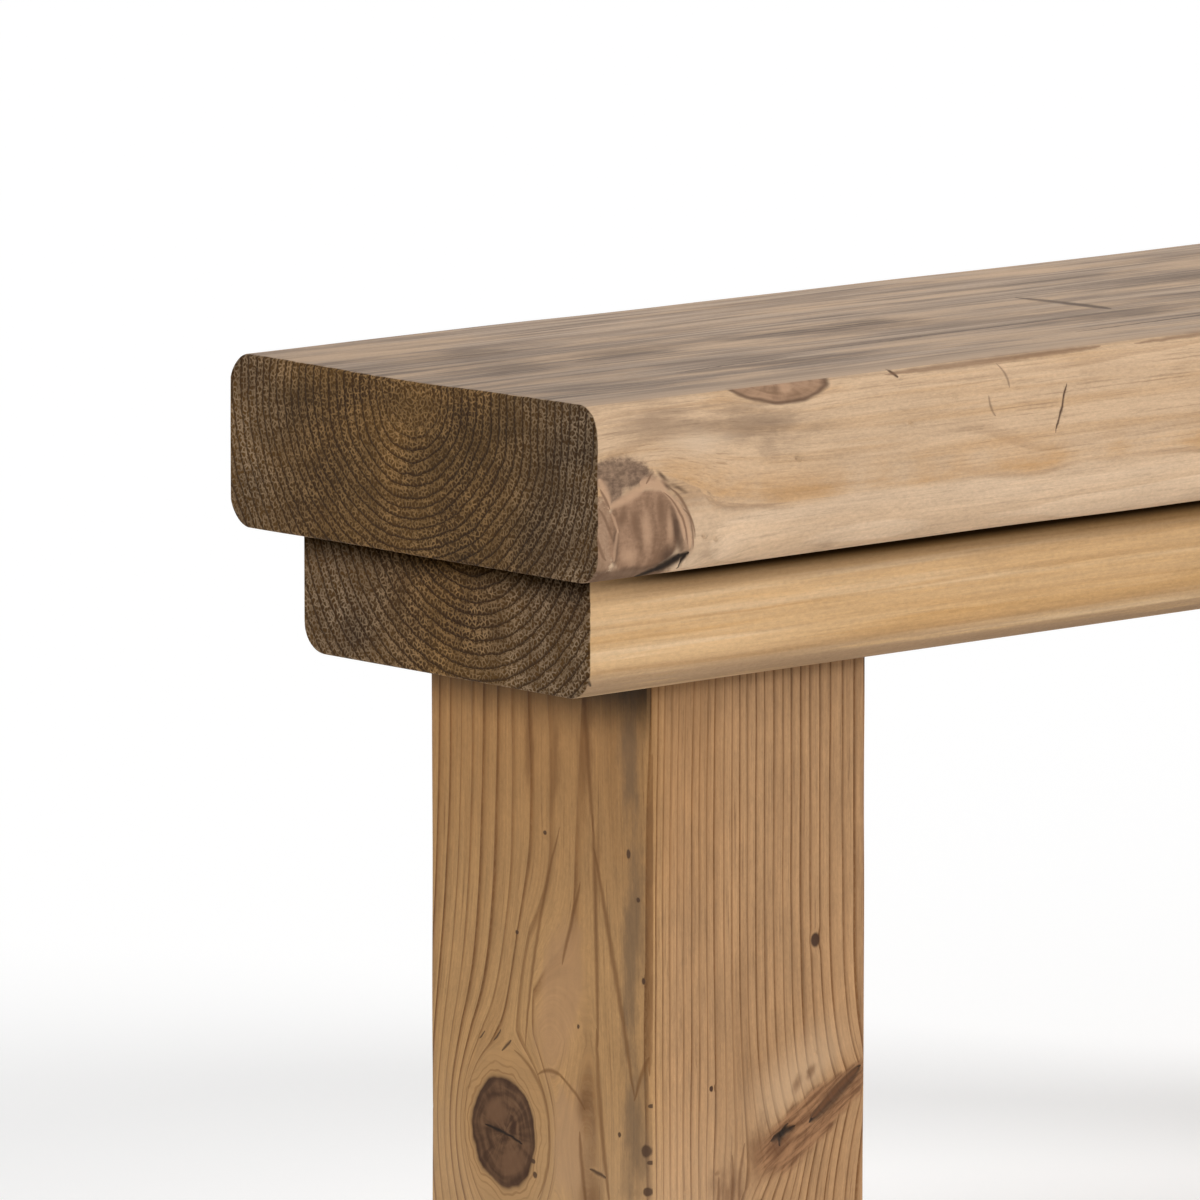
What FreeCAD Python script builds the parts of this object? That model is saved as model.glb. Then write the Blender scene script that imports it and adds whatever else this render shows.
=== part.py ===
"""Rustic wooden bench of heavy softwood: a round-edged seat beam lies on a narrower under beam, which two
square-cut post legs carry. Each leg passes a through tenon up into the under beam, spread by two wedges and
planed flush, so that the seat beam hides the joint. Coach screws with washers, sunk in the under beam's
underside, hold the seat.

Frame: +X along the bench, +Y across it, +Z up, origin on the floor under the middle of the seat. Millimetres.
"""

import FreeCAD
import Part
import Sketcher
import math
import os

OUT = "parts"

# Driving dimensions: alias, millimetres, meaning
SIZES = [
    ("bench_length", 1200, "seat beam from end to end"),
    ("seat_height", 450, "floor to the top of the seat"),
    ("seat_width", 225, "seat beam across the bench"),
    ("seat_thickness", 72, "seat beam, bottom to top"),
    ("seat_edge_radius", 11, "round on the seat beam's long edges"),
    ("under_width", 175, "under beam across the bench"),
    ("under_thickness", 51, "under beam, bottom to top"),
    ("under_edge_radius", 12.5, "round on the under beam's lower long edges"),
    ("under_end_inset", 18, "seat beam's end to the under beam's end"),
    ("end_arris", 1.5, "small round where a sawn end meets the long faces"),
    ("leg_width", 123, "leg along the bench"),
    ("leg_depth", 135, "leg across the bench"),
    ("leg_end_inset", 67, "seat beam's end to the leg's outer face"),
    ("leg_edge_radius", 5, "round on the leg's upright edges"),
    ("foot_chamfer", 4, "chamfer round the foot, against splintering"),
    ("tenon_width", 74, "tenon along the bench, at its shoulder"),
    ("tenon_depth", 96, "tenon and mortise across the bench"),
    ("tenon_spread", 4, "how far the wedges push each cheek out at the top"),
    ("tenon_cheek", 18, "tenon's side to the middle of its saw kerf, at the kerf's foot"),
    ("kerf_width", 2.5, "saw kerf that a wedge opens"),
    ("kerf_depth", 40, "kerf's foot to the tenon's end"),
    ("wedge_tip_gap", 3, "kerf's foot to the wedge's tip"),
    ("screw_diameter", 8, "coach screw's shank"),
    ("screw_length", 75, "coach screw under its head"),
    ("screw_point", 9, "tapered point, part of the screw's length"),
    ("screw_tip_diameter", 2, "blunt end of the point"),
    ("screw_head_flats", 13, "hexagon head across its flats"),
    ("screw_head_height", 5.5, "hexagon head along the screw"),
    ("screw_row_gap", 100, "between the two rows of screws, across the bench"),
    ("screw_leg_gap", 70, "leg's inner face to the nearest screws"),
    ("screw_hole_play", 0.4, "under beam's hole wider than the shank, all round"),
    ("pilot_play", 0.05, "seat beam's pilot hole wider than the shank, all round"),
    ("pilot_spare", 3, "pilot hole deeper than the screw's tip"),
    ("washer_diameter", 24, "washer's outside"),
    ("washer_thickness", 2, "washer along the screw"),
    ("washer_play", 0.25, "washer's hole wider than the shank, all round"),
    ("counterbore_diameter", 28, "sunk hole for the screw's head and washer"),
    ("counterbore_depth", 16, "sunk hole, up from the under beam's underside"),
    ("cut_overrun", 5, "how far a through cut runs past the face it leaves by"),
]
SCREW_STATIONS = 3
SIDES = {"left": -1, "right": 1}
WEDGES = {"outer": 1, "inner": -1}
ALL_CORNERS = (0, 1, 2, 3)
LOWER_CORNERS = (2, 3)

doc = FreeCAD.newDocument("bench")
sheet = doc.addObject("Spreadsheet::Sheet", "sizes")
for line, (alias, number, meaning) in enumerate(SIZES, start=1):
    sheet.set(f"A{line}", alias)
    sheet.set(f"B{line}", str(number))
    sheet.set(f"C{line}", meaning)
    sheet.setAlias(f"B{line}", alias)
doc.recompute()

# Heights and places along the bench that several pieces share, as expressions on the sheet
LEG_LENGTH = "(sizes.seat_height - sizes.seat_thickness - sizes.under_thickness)"
LEG_CENTRE = "(sizes.bench_length / 2 - sizes.leg_end_inset - sizes.leg_width / 2)"
UNDER_LENGTH = "(sizes.bench_length - 2 * sizes.under_end_inset)"
KERF_FOOT = "(sizes.under_thickness - sizes.kerf_depth)"
OUTER_SCREW = "(sizes.bench_length / 2 - sizes.leg_end_inset - sizes.leg_width - sizes.screw_leg_gap)"
WASHER_BOTTOM = f"({LEG_LENGTH} + sizes.counterbore_depth - sizes.washer_thickness)"


def number(expression):
    """The value of an expression on the sheet, in millimetres."""
    return float(sheet.evalExpression(expression))


def origin_feature(body, role):
    """One of a body's own origin planes or axes, by its role."""
    return next(f for f in body.Origin.OriginFeatures if f.Role == role)


def new_body(label, **place):
    """A named body, moved along the axes given by the expressions in place."""
    body = doc.addObject("PartDesign::Body", label)
    body.Label = label
    for axis, expression in place.items():
        body.setExpression(f"Placement.Base.{axis}", expression)
    return body


def new_sketch(body, name, role, offset=None):
    """A sketch on one of the body's origin planes, lifted along the plane's normal by an expression."""
    sketch = body.newObject("Sketcher::SketchObject", name)
    sketch.AttachmentSupport = (origin_feature(body, role), [""])
    sketch.MapMode = "FlatFace"
    if offset:
        sketch.setExpression("AttachmentOffset.Base.z", offset)
    return sketch


def hold(sketch, constraint, expression):
    """Adds a sized constraint and binds it to an expression on the sheet."""
    index = sketch.addConstraint(constraint)
    sketch.setExpression(f"Constraints[{index}]", expression)


def draw_outline(sketch, points):
    """A closed outline of straight lines through points, each a pair of expressions from the origin."""
    places = [FreeCAD.Vector(number(x), number(y), 0) for x, y in points]
    first = sketch.GeometryCount
    for start, end in zip(places, places[1:] + places[:1]):
        sketch.addGeometry(Part.LineSegment(start, end))
    for i, (x, y) in enumerate(points):
        follower = first + (i + 1) % len(points)
        sketch.addConstraint(Sketcher.Constraint("Coincident", first + i, 2, follower, 1))
        hold(sketch, Sketcher.Constraint("DistanceX", first + i, 1, places[i].x), x)
        hold(sketch, Sketcher.Constraint("DistanceY", first + i, 1, places[i].y), y)


def draw_rounded_section(sketch, width, height, radius, rounded):
    """A rectangle about the sketch's origin, anticlockwise from its upper right corner. Some corners are
    rounded: lines 0 to 3, then an arc for each rounded corner."""
    w, h, r = number(width) / 2, number(height) / 2, number(radius)
    ease = [r if corner in rounded else 0 for corner in ALL_CORNERS]
    starts = [(w - ease[0], h), (-w, h - ease[1]), (ease[2] - w, -h), (w, ease[3] - h)]
    ends = [(ease[1] - w, h), (-w, ease[2] - h), (w - ease[3], -h), (w, h - ease[0])]
    centres = [(w - r, h - r), (r - w, h - r), (r - w, r - h), (w - r, r - h)]
    for start, end in zip(starts, ends):
        sketch.addGeometry(Part.LineSegment(FreeCAD.Vector(*start, 0), FreeCAD.Vector(*end, 0)))
    for corner in rounded:
        circle = Part.Circle(FreeCAD.Vector(*centres[corner], 0), FreeCAD.Vector(0, 0, 1), r)
        sketch.addGeometry(Part.ArcOfCircle(circle, corner * math.pi / 2, (corner + 1) * math.pi / 2))
    for line in ALL_CORNERS:
        before = (line - 1) % 4
        if line in rounded:
            arc = 4 + rounded.index(line)
            sketch.addConstraint(Sketcher.Constraint("Tangent", before, 2, arc, 1))
            sketch.addConstraint(Sketcher.Constraint("Tangent", arc, 2, line, 1))
        else:
            sketch.addConstraint(Sketcher.Constraint("Coincident", before, 2, line, 1))
        sketch.addConstraint(Sketcher.Constraint("Vertical" if line % 2 else "Horizontal", line))
    for arc in range(5, 4 + len(rounded)):
        sketch.addConstraint(Sketcher.Constraint("Equal", 4, arc))
    hold(sketch, Sketcher.Constraint("Radius", 4, r), radius)
    hold(sketch, Sketcher.Constraint("DistanceY", 0, 1, h), f"{height} / 2")
    hold(sketch, Sketcher.Constraint("DistanceX", 1, 1, -w), f"-{width} / 2")
    hold(sketch, Sketcher.Constraint("DistanceY", 2, 1, -h), f"-{height} / 2")
    hold(sketch, Sketcher.Constraint("DistanceX", 3, 1, w), f"{width} / 2")


def draw_screw_holes(sketch, diameter):
    """The first pair of screw holes, one in each row, as circles of a diameter."""
    x, y, r = number(f"-{OUTER_SCREW}"), number("sizes.screw_row_gap / 2"), number(diameter) / 2
    for i, row in enumerate((1, -1)):
        sketch.addGeometry(Part.Circle(FreeCAD.Vector(x, row * y, 0), FreeCAD.Vector(0, 0, 1), r))
        hold(sketch, Sketcher.Constraint("DistanceX", i, 3, x), f"-{OUTER_SCREW}")
        hold(sketch, Sketcher.Constraint("DistanceY", i, 3, row * y), f"{row} * sizes.screw_row_gap / 2")
        hold(sketch, Sketcher.Constraint("Diameter", i, 2 * r), diameter)


def extrude(body, kind, name, sketch, length, side="One side", turned=False):
    """A Pad or a Pocket of a sketch by an expression. A turned Pocket cuts up, along its plane's normal."""
    feature = body.newObject(f"PartDesign::{kind}", name)
    feature.Profile = sketch
    feature.SideType = side
    feature.Reversed = turned
    feature.setExpression("Length", length)
    doc.recompute()
    return feature


def flat_faces(feature, direction):
    """Names of the flat faces of a feature that look along a direction."""
    found = []
    for i, face in enumerate(feature.Shape.Faces, start=1):
        if isinstance(face.Surface, Part.Plane) and face.normalAt(0, 0).dot(direction) > 1 - 1e-6:
            found.append(f"Face{i}")
    return found


def ease_ends(body, feature):
    """Rounds the arris all round both sawn ends of a beam."""
    ends = flat_faces(feature, FreeCAD.Vector(1, 0, 0)) + flat_faces(feature, FreeCAD.Vector(-1, 0, 0))
    arris = body.newObject("PartDesign::Fillet", f"{body.Label}_end_arris")
    arris.Base = (feature, ends)
    arris.setExpression("Radius", "sizes.end_arris")
    doc.recompute()


def repeat_along_bench(body, name, cuts):
    """Repeats the first pair of screw holes at every station along the bench."""
    pattern = body.newObject("PartDesign::LinearPattern", name)
    pattern.Originals = cuts
    pattern.Direction = (origin_feature(body, "X_Axis"), [""])
    pattern.Occurrences = SCREW_STATIONS
    pattern.setExpression("Length", f"2 * {OUTER_SCREW}")
    body.Tip = pattern
    doc.recompute()


# Beams

def make_beam(label, length, width, thickness, radius, rounded, middle_height):
    """A beam along the bench, about its own middle, with some long edges rounded and both ends eased."""
    body = new_body(label, z=middle_height)
    section = new_sketch(body, f"{label}_section", "YZ_Plane")
    draw_rounded_section(section, width, thickness, radius, rounded)
    pad = extrude(body, "Pad", f"{label}_length", section, length, side="Symmetric")
    ease_ends(body, pad)
    return body


def make_seat_beam():
    """The seat beam, with blind pilot holes in its underside for the coach screws."""
    body = make_beam("seat_beam", "sizes.bench_length", "sizes.seat_width", "sizes.seat_thickness",
                     "sizes.seat_edge_radius", ALL_CORNERS, "sizes.seat_height - sizes.seat_thickness / 2")
    holes = new_sketch(body, "pilot_holes", "XY_Plane", "-sizes.seat_thickness / 2")
    draw_screw_holes(holes, "(sizes.screw_diameter + 2 * sizes.pilot_play)")
    seat_bottom = f"({LEG_LENGTH} + sizes.under_thickness)"
    depth = f"{WASHER_BOTTOM} + sizes.screw_length - {seat_bottom} + sizes.pilot_spare"
    pilots = extrude(body, "Pocket", "pilots", holes, depth, turned=True)
    repeat_along_bench(body, "pilot_pattern", [pilots])
    return body


def make_under_beam():
    """The under beam, with a flared through mortise over each leg and sunk holes for the coach screws."""
    body = make_beam("under_beam", UNDER_LENGTH, "sizes.under_width", "sizes.under_thickness",
                     "sizes.under_edge_radius", LOWER_CORNERS, f"{LEG_LENGTH} + sizes.under_thickness / 2")
    outline = new_sketch(body, "mortise_outline", "XZ_Plane")
    bottom, top = "-sizes.under_thickness / 2", "sizes.under_thickness / 2"
    narrow, wide = "sizes.tenon_width / 2", "(sizes.tenon_width / 2 + sizes.tenon_spread)"
    heights = [(narrow, f"{bottom} - sizes.cut_overrun"), (narrow, f"{bottom} + {KERF_FOOT}"), (wide, top),
               (wide, f"{top} + sizes.cut_overrun")]
    rising = [(f"-{LEG_CENTRE} + {half}", z) for half, z in heights]
    falling = [(f"-{LEG_CENTRE} - {half}", z) for half, z in reversed(heights)]
    draw_outline(outline, rising + falling)
    mortise = extrude(body, "Pocket", "left_mortise", outline, "sizes.tenon_depth", side="Symmetric")
    mirrored = body.newObject("PartDesign::Mirrored", "right_mortise")
    mirrored.Originals = [mortise]
    mirrored.MirrorPlane = (origin_feature(body, "YZ_Plane"), [""])
    body.Tip = mirrored
    doc.recompute()
    cuts = []
    for name, diameter, depth in (
            ("counterbores", "sizes.counterbore_diameter", "sizes.counterbore_depth"),
            ("screw_holes", "(sizes.screw_diameter + 2 * sizes.screw_hole_play)",
             "sizes.under_thickness + sizes.cut_overrun")):
        holes = new_sketch(body, f"{name}_outline", "XY_Plane", bottom)
        draw_screw_holes(holes, diameter)
        cuts.append(extrude(body, "Pocket", name, holes, depth, turned=True))
    repeat_along_bench(body, "screw_hole_pattern", cuts)
    return body


# Legs and wedges

def kerf_walls(side, height):
    """Expressions for a kerf's upright inner wall and leaning outer wall, at a height over the shoulder.
    The cheek outside the kerf leans out by tenon_spread over kerf_depth, and keeps its thickness."""
    middle = "(sizes.tenon_width / 2 - sizes.tenon_cheek)"
    lean = f"sizes.tenon_spread * ({height} - {KERF_FOOT}) / sizes.kerf_depth"
    inner = f"{side} * ({middle} - sizes.kerf_width / 2)"
    outer = f"{side} * ({middle} + sizes.kerf_width / 2 + {lean})"
    return inner, outer


def kerf_outline(side, low, high):
    """The four corners of a kerf, or of the wedge in it, between two heights over the tenon's shoulder."""
    low_inner, low_outer = kerf_walls(side, low)
    high_inner, high_outer = kerf_walls(side, high)
    low_z, high_z = f"{LEG_LENGTH} + {low}", f"{LEG_LENGTH} + {high}"
    return [(low_inner, low_z), (low_outer, low_z), (high_outer, high_z), (high_inner, high_z)]


def make_leg(side_name):
    """A post leg with eased upright edges, a chamfered foot and a through tenon spread at two kerfs."""
    label = f"{side_name}_leg"
    body = new_body(label, x=f"{SIDES[side_name]} * {LEG_CENTRE}")
    section = new_sketch(body, f"{label}_section", "XY_Plane")
    draw_rounded_section(section, "sizes.leg_width", "sizes.leg_depth", "sizes.leg_edge_radius", ALL_CORNERS)
    post = extrude(body, "Pad", f"{label}_post", section, LEG_LENGTH)
    foot = body.newObject("PartDesign::Chamfer", f"{label}_foot")
    foot.Base = (post, flat_faces(post, FreeCAD.Vector(0, 0, -1)))
    foot.setExpression("Size", "sizes.foot_chamfer")
    doc.recompute()
    tenon_outline = new_sketch(body, f"{label}_tenon_outline", "XZ_Plane")
    narrow, wide = "sizes.tenon_width / 2", "(sizes.tenon_width / 2 + sizes.tenon_spread)"
    heights = [(narrow, LEG_LENGTH), (narrow, f"{LEG_LENGTH} + {KERF_FOOT}"),
               (wide, f"{LEG_LENGTH} + sizes.under_thickness")]
    rising = [(half, z) for half, z in heights]
    falling = [(f"-{half}", z) for half, z in reversed(heights)]
    draw_outline(tenon_outline, rising + falling)
    extrude(body, "Pad", f"{label}_tenon", tenon_outline, "sizes.tenon_depth", side="Symmetric")
    kerfs = new_sketch(body, f"{label}_kerf_outlines", "XZ_Plane")
    for side in WEDGES.values():
        draw_outline(kerfs, kerf_outline(side, KERF_FOOT, "(sizes.under_thickness + sizes.cut_overrun)"))
    across = "sizes.tenon_depth + 2 * sizes.cut_overrun"
    extrude(body, "Pocket", f"{label}_kerfs", kerfs, across, side="Symmetric")
    return body


def make_wedge(side_name, wedge_name):
    """A hardwood wedge that fills one kerf of a leg's tenon, driven from above and trimmed flush."""
    label = f"{side_name}_leg_{wedge_name}_wedge"
    body = new_body(label, x=f"{SIDES[side_name]} * {LEG_CENTRE}")
    outline = new_sketch(body, f"{label}_outline", "XZ_Plane")
    tip = f"({KERF_FOOT} + sizes.wedge_tip_gap)"
    draw_outline(outline, kerf_outline(SIDES[side_name] * WEDGES[wedge_name], tip, "sizes.under_thickness"))
    extrude(body, "Pad", f"{label}_length", outline, "sizes.tenon_depth", side="Symmetric")
    return body


# Coach screws and washers

def screw_places():
    """Names and expressions of every screw's place along and across the bench."""
    for station in range(SCREW_STATIONS):
        x = f"{OUTER_SCREW} * (2 * {station} / {SCREW_STATIONS - 1} - 1)"
        for row_name, row in (("front", -1), ("back", 1)):
            yield f"{row_name}_{station + 1}", x, f"{row} * sizes.screw_row_gap / 2"


def primitive(kind, name, place, **sizes):
    """A Part primitive whose sizes and place are expressions on the sheet."""
    solid = doc.addObject(f"Part::{kind}", name)
    for size, expression in sizes.items():
        solid.setExpression(size, expression)
    for axis, expression in zip("xyz", place):
        solid.setExpression(f"Placement.Base.{axis}", expression)
    return solid


def make_screw(name, x, y):
    """A coach screw standing point up: hexagon head, shank and tapered point."""
    shank_length = "(sizes.screw_length - sizes.screw_point)"
    head = primitive("Prism", f"screw_head_{name}", (x, y, f"{WASHER_BOTTOM} - sizes.screw_head_height"),
                     Circumradius="sizes.screw_head_flats / 2 / cos(30 deg)",
                     Height="sizes.screw_head_height")
    head.Polygon = 6
    shank = primitive("Cylinder", f"screw_shank_{name}", (x, y, WASHER_BOTTOM),
                      Radius="sizes.screw_diameter / 2", Height=shank_length)
    point = primitive("Cone", f"screw_point_{name}", (x, y, f"{WASHER_BOTTOM} + {shank_length}"),
                      Radius1="sizes.screw_diameter / 2", Radius2="sizes.screw_tip_diameter / 2",
                      Height="sizes.screw_point")
    screw = doc.addObject("Part::MultiFuse", f"screw_{name}")
    screw.Shapes = [head, shank, point]
    return screw


def make_washer(name, x, y):
    """A flat washer between a screw's head and the roof of its counterbore."""
    disc = primitive("Cylinder", f"washer_disc_{name}", (x, y, WASHER_BOTTOM),
                     Radius="sizes.washer_diameter / 2", Height="sizes.washer_thickness")
    hole = primitive("Cylinder", f"washer_hole_{name}", (x, y, f"{WASHER_BOTTOM} - sizes.cut_overrun"),
                     Radius="sizes.screw_diameter / 2 + sizes.washer_play",
                     Height="sizes.washer_thickness + 2 * sizes.cut_overrun")
    washer = doc.addObject("Part::Cut", f"washer_{name}")
    washer.Base, washer.Tool = disc, hole
    return washer


def make_group(label, make):
    """One node of separate, identical solids, one at every screw's place."""
    group = doc.addObject("Part::Compound", label)
    group.Label = label
    group.Links = [make(*place) for place in screw_places()]
    return group


def make_bench():
    """Every sub-part of the bench, in the order in which it is put together."""
    nodes = [make_under_beam()]
    for side_name in SIDES:
        nodes.append(make_leg(side_name))
        nodes += [make_wedge(side_name, wedge_name) for wedge_name in WEDGES]
    nodes.append(make_seat_beam())
    nodes.append(make_group("seat_screw_washers", make_washer))
    nodes.append(make_group("seat_screws", make_screw))
    doc.recompute()
    return nodes


def check(nodes):
    """Stops before anything is written if an object failed or a sub-part's shape is missing or broken."""
    failed = [o.Label for o in doc.Objects if {"Invalid", "Error"} & set(o.State)]
    broken = [n.Label for n in nodes if n.Shape.isNull() or not n.Shape.isValid() or not n.Shape.Solids]
    if failed or broken:
        raise RuntimeError(f"failed objects: {failed}; broken shapes: {broken}")


def write(nodes):
    """One STEP file for each sub-part, named by its label."""
    os.makedirs(OUT, exist_ok=True)
    for node in nodes:
        node.Shape.exportStep(os.path.join(OUT, f"{node.Label}.step"))
        box = node.Shape.optimalBoundingBox()
        print(f"{node.Label}: {len(node.Shape.Solids)} solids, {node.Shape.Volume / 1000:.1f} cm3, "
              f"x {box.XMin:.1f}..{box.XMax:.1f}, y {box.YMin:.1f}..{box.YMax:.1f}, "
              f"z {box.ZMin:.1f}..{box.ZMax:.1f}")


bench = make_bench()
check(bench)
write(bench)
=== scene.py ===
# %% [markdown]
# # A rustic bench of heavy softwood
# A round-edged seat beam lies on a narrower under beam, and a post leg near each end carries both. The packed
# solids come in first and stay fixed. The dense timber surfaces and the finishes are then built round them.

# %% The fixed frame
import math

import bpy
import numpy as np
from mathutils import Matrix, Vector


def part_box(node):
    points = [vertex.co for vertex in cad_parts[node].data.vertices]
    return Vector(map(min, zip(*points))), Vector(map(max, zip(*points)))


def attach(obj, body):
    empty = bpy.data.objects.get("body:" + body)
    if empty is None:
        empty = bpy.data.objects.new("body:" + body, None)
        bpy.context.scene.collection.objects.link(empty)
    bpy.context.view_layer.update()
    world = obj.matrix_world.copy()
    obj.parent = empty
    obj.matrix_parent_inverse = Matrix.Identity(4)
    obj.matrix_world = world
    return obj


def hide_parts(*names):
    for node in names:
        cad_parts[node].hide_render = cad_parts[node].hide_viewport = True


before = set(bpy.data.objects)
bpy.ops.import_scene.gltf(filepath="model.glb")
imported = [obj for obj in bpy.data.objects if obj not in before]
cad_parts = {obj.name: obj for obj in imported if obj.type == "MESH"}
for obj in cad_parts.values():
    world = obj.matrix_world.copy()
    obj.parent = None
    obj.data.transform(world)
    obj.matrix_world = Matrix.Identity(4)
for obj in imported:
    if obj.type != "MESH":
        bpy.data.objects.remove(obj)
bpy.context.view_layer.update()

MM = 0.001
print("solids:", sorted(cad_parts))

# %% [markdown]
# ## The camera
# The picture was taken with a long lens, from the left end and a little above the seat. The place, the turn
# and the lens were fitted to the bench's straight edges, so they are written here as they came out. A camera
# can be placed by eye too, but only a fitted one lets a render be laid over the picture.

# %% Camera
VIEW_TURN = math.radians(41.78)
VIEW_RISE = math.radians(8.77)
CAMERA_PLACE = Vector((-3.6792, -3.5608, 1.0862))
FOCAL_SHARE = 11870.8 / 1200  # the focal length over the picture's width, both in pixels
FILM_WIDTH = 36  # millimetres
SIGHT_REACH = 200  # metres

turn_sin, turn_cos = math.sin(VIEW_TURN), math.cos(VIEW_TURN)
rise_sin, rise_cos = math.sin(VIEW_RISE), math.cos(VIEW_RISE)
to_right = Vector((turn_cos, -turn_sin, 0))
to_top = Vector((turn_sin * rise_sin, turn_cos * rise_sin, rise_cos))
to_eye = Vector((-turn_sin * rise_cos, -turn_cos * rise_cos, rise_sin))

scene = bpy.context.scene
camera_data = bpy.data.cameras.new("bench_view")
camera_data.sensor_width = FILM_WIDTH
camera_data.lens = FILM_WIDTH * FOCAL_SHARE
camera_data.clip_end = SIGHT_REACH
camera = bpy.data.objects.new("bench_view", camera_data)
camera.matrix_world = Matrix.LocRotScale(
    CAMERA_PLACE, Matrix((to_right, to_top, to_eye)).transposed().to_quaternion(), None)
scene.collection.objects.link(camera)
scene.camera = camera
scene.view_settings.view_transform = "Standard"
print(f"lens {camera_data.lens:.1f} mm, {CAMERA_PLACE.length:.2f} m from the origin")


# %% [markdown]
# ## Meshes from arrays
# Every new piece is worked out as whole arrays of points and faces. One helper turns such arrays into an
# object at the origin, unturned and unscaled, with its place in its points. Points could also be added one by
# one, which is slow for meshes as dense as these.

# %% Mesh helper
def piece_from_arrays(name, points, faces, smooth=True):
    """An object whose mesh has the points (n by 3, metres) and the faces (lists of point numbers)."""
    mesh = bpy.data.meshes.new(name)
    mesh.from_pydata(np.asarray(points).tolist(), [], faces)
    mesh.validate()
    mesh.polygons.foreach_set("use_smooth", np.full(len(mesh.polygons), smooth))
    mesh.update()
    piece = bpy.data.objects.new(name, mesh)
    scene.collection.objects.link(piece)
    return piece


# %% [markdown]
# ## Writing finishes as formulas
# A finish is a formula over the surface. A small class holds a node's output and lets formulas be written
# with the ordinary signs, and each sign adds one node. The same nodes could be wired by hand in the Shader
# Editor, but a formula can be read and changed in one place.

# %% Formula helper
class Field:
    """A value that varies over a surface, kept as a node's output."""

    def __init__(self, socket):
        self.socket = socket
        self.tree = socket.id_data

    __add__ = __radd__ = lambda self, other: calc("ADD", self, other)
    __mul__ = __rmul__ = lambda self, other: calc("MULTIPLY", self, other)
    __sub__ = lambda self, other: calc("SUBTRACT", self, other)
    __rsub__ = lambda self, other: calc("SUBTRACT", other, self)
    __truediv__ = lambda self, other: calc("DIVIDE", self, other)
    __rtruediv__ = lambda self, other: calc("DIVIDE", other, self)
    __pow__ = lambda self, other: calc("POWER", self, other)
    __abs__ = lambda self: calc("ABSOLUTE", self)


def add_node(kind, inputs, **settings):
    """A new node in its fields' tree, with its settings, and with fields, numbers or colours on its inputs."""
    tree = next(value.tree for value in inputs.values() if isinstance(value, Field))
    made = tree.nodes.new("ShaderNode" + kind)
    for name, value in settings.items():
        setattr(made, name, value)
    for name, value in inputs.items():
        feed(made.inputs[name], value)
    return made


def feed(socket, value):
    """Link a field to a socket, or set a plain number or colour on it."""
    if isinstance(value, Field):
        socket.id_data.links.new(value.socket, socket)
    else:
        socket.default_value = value


def field(kind, inputs, output=0, **settings):
    """One output of a new node."""
    return Field(add_node(kind, inputs, **settings).outputs[output])


def calc(operation, *values):
    """One step of arithmetic on fields and numbers."""
    return field("Math", dict(enumerate(values)), operation=operation)


def root(value):
    """The square root of a field."""
    return calc("SQRT", value)


def ramp(value, low, high):
    """0 at low, 1 at high, with a smooth rise between them. low may be the larger one."""
    inputs = {"Value": value, "From Min": low, "From Max": high}
    return field("MapRange", inputs, interpolation_type="SMOOTHSTEP")


def join(x, y, z):
    """A vector from three fields or numbers."""
    return field("CombineXYZ", {"X": x, "Y": y, "Z": z})


def parts(vector):
    """The three fields of a vector."""
    return [Field(socket) for socket in add_node("SeparateXYZ", {0: vector}).outputs]


# %% [markdown]
# Wood needs smooth noise, cells and chance tones, and its colours are mixed and shaded. Pictures of wood
# could give all of that, but noise has no seam and stays sharp from near by.

# %% Patterns and colours
def noise(vector, detail=2, rough=0.5):
    """Smooth noise about 0.5, one bump per unit of the vector."""
    return field("TexNoise", {"Vector": vector, "Scale": 1, "Detail": detail, "Roughness": rough})


def ripple(x, y, z, detail=2, rough=0.5):
    """Smooth noise about 0 at a place."""
    return noise(join(x, y, z), detail, rough) - 0.5


def cell_walls(vector):
    """How far a place is from the walls of irregular cells, about one cell per unit of the vector."""
    return field("TexVoronoi", {"Vector": vector, "Scale": 1}, "Distance", feature="DISTANCE_TO_EDGE",
                 voronoi_dimensions="2D")


def chance(value):
    """A number from 0 to 1 that is different for each value."""
    return field("TexWhiteNoise", {"W": value}, "Value", noise_dimensions="1D")


def blend(share, first, second):
    """A colour between two colours."""
    first, second = (tint if isinstance(tint, Field) else (*tint, 1) for tint in (first, second))
    return field("Mix", {0: share, 6: first, 7: second}, 2, data_type="RGBA")


def shade(colour, factor):
    """A colour made lighter or darker by a factor."""
    return field("HueSaturation", {"Color": colour, "Value": factor})


# %% [markdown]
# An effect that several finishes share is built once, as a node group. Its nodes could be copied into each
# material, but then a change would have to be made in every copy.

# %% Shared effects
def make_group(recipe, takes, gives):
    """A shared effect as a node group. recipe turns the fields it takes into the fields it gives."""
    group = bpy.data.node_groups.new(recipe.__name__, "ShaderNodeTree")
    for label in takes:
        kind = "NodeSocketVector" if label == "Place" else "NodeSocketFloat"
        group.interface.new_socket(label, in_out="INPUT", socket_type=kind)
    for label in gives:
        group.interface.new_socket(label, in_out="OUTPUT", socket_type="NodeSocketFloat")
    start, end = group.nodes.new("NodeGroupInput"), group.nodes.new("NodeGroupOutput")
    for socket, value in zip(end.inputs, recipe(*map(Field, start.outputs[:len(takes)]))):
        feed(socket, value)
    return group


def use(group, *values):
    """The fields that a shared effect gives for some fields and numbers."""
    made = add_node("Group", dict(enumerate(values)), node_tree=group)
    return [Field(socket) for socket in made.outputs]


# %% [markdown]
# ## Floor and light
# The bench stands on a pale plain floor in soft, even light. A large lamp at the front right gives the faces
# their slight difference, and the white surroundings do the rest. The camera sees the floor lifted towards
# white by a little light of its own, which other rays don't see, so that the shadow stays on it. A lamp is
# the direction that its light comes from, its level and its spread in degrees. A picture of real surroundings
# could light the bench as well, but a few lamps are easier to set.

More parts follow.
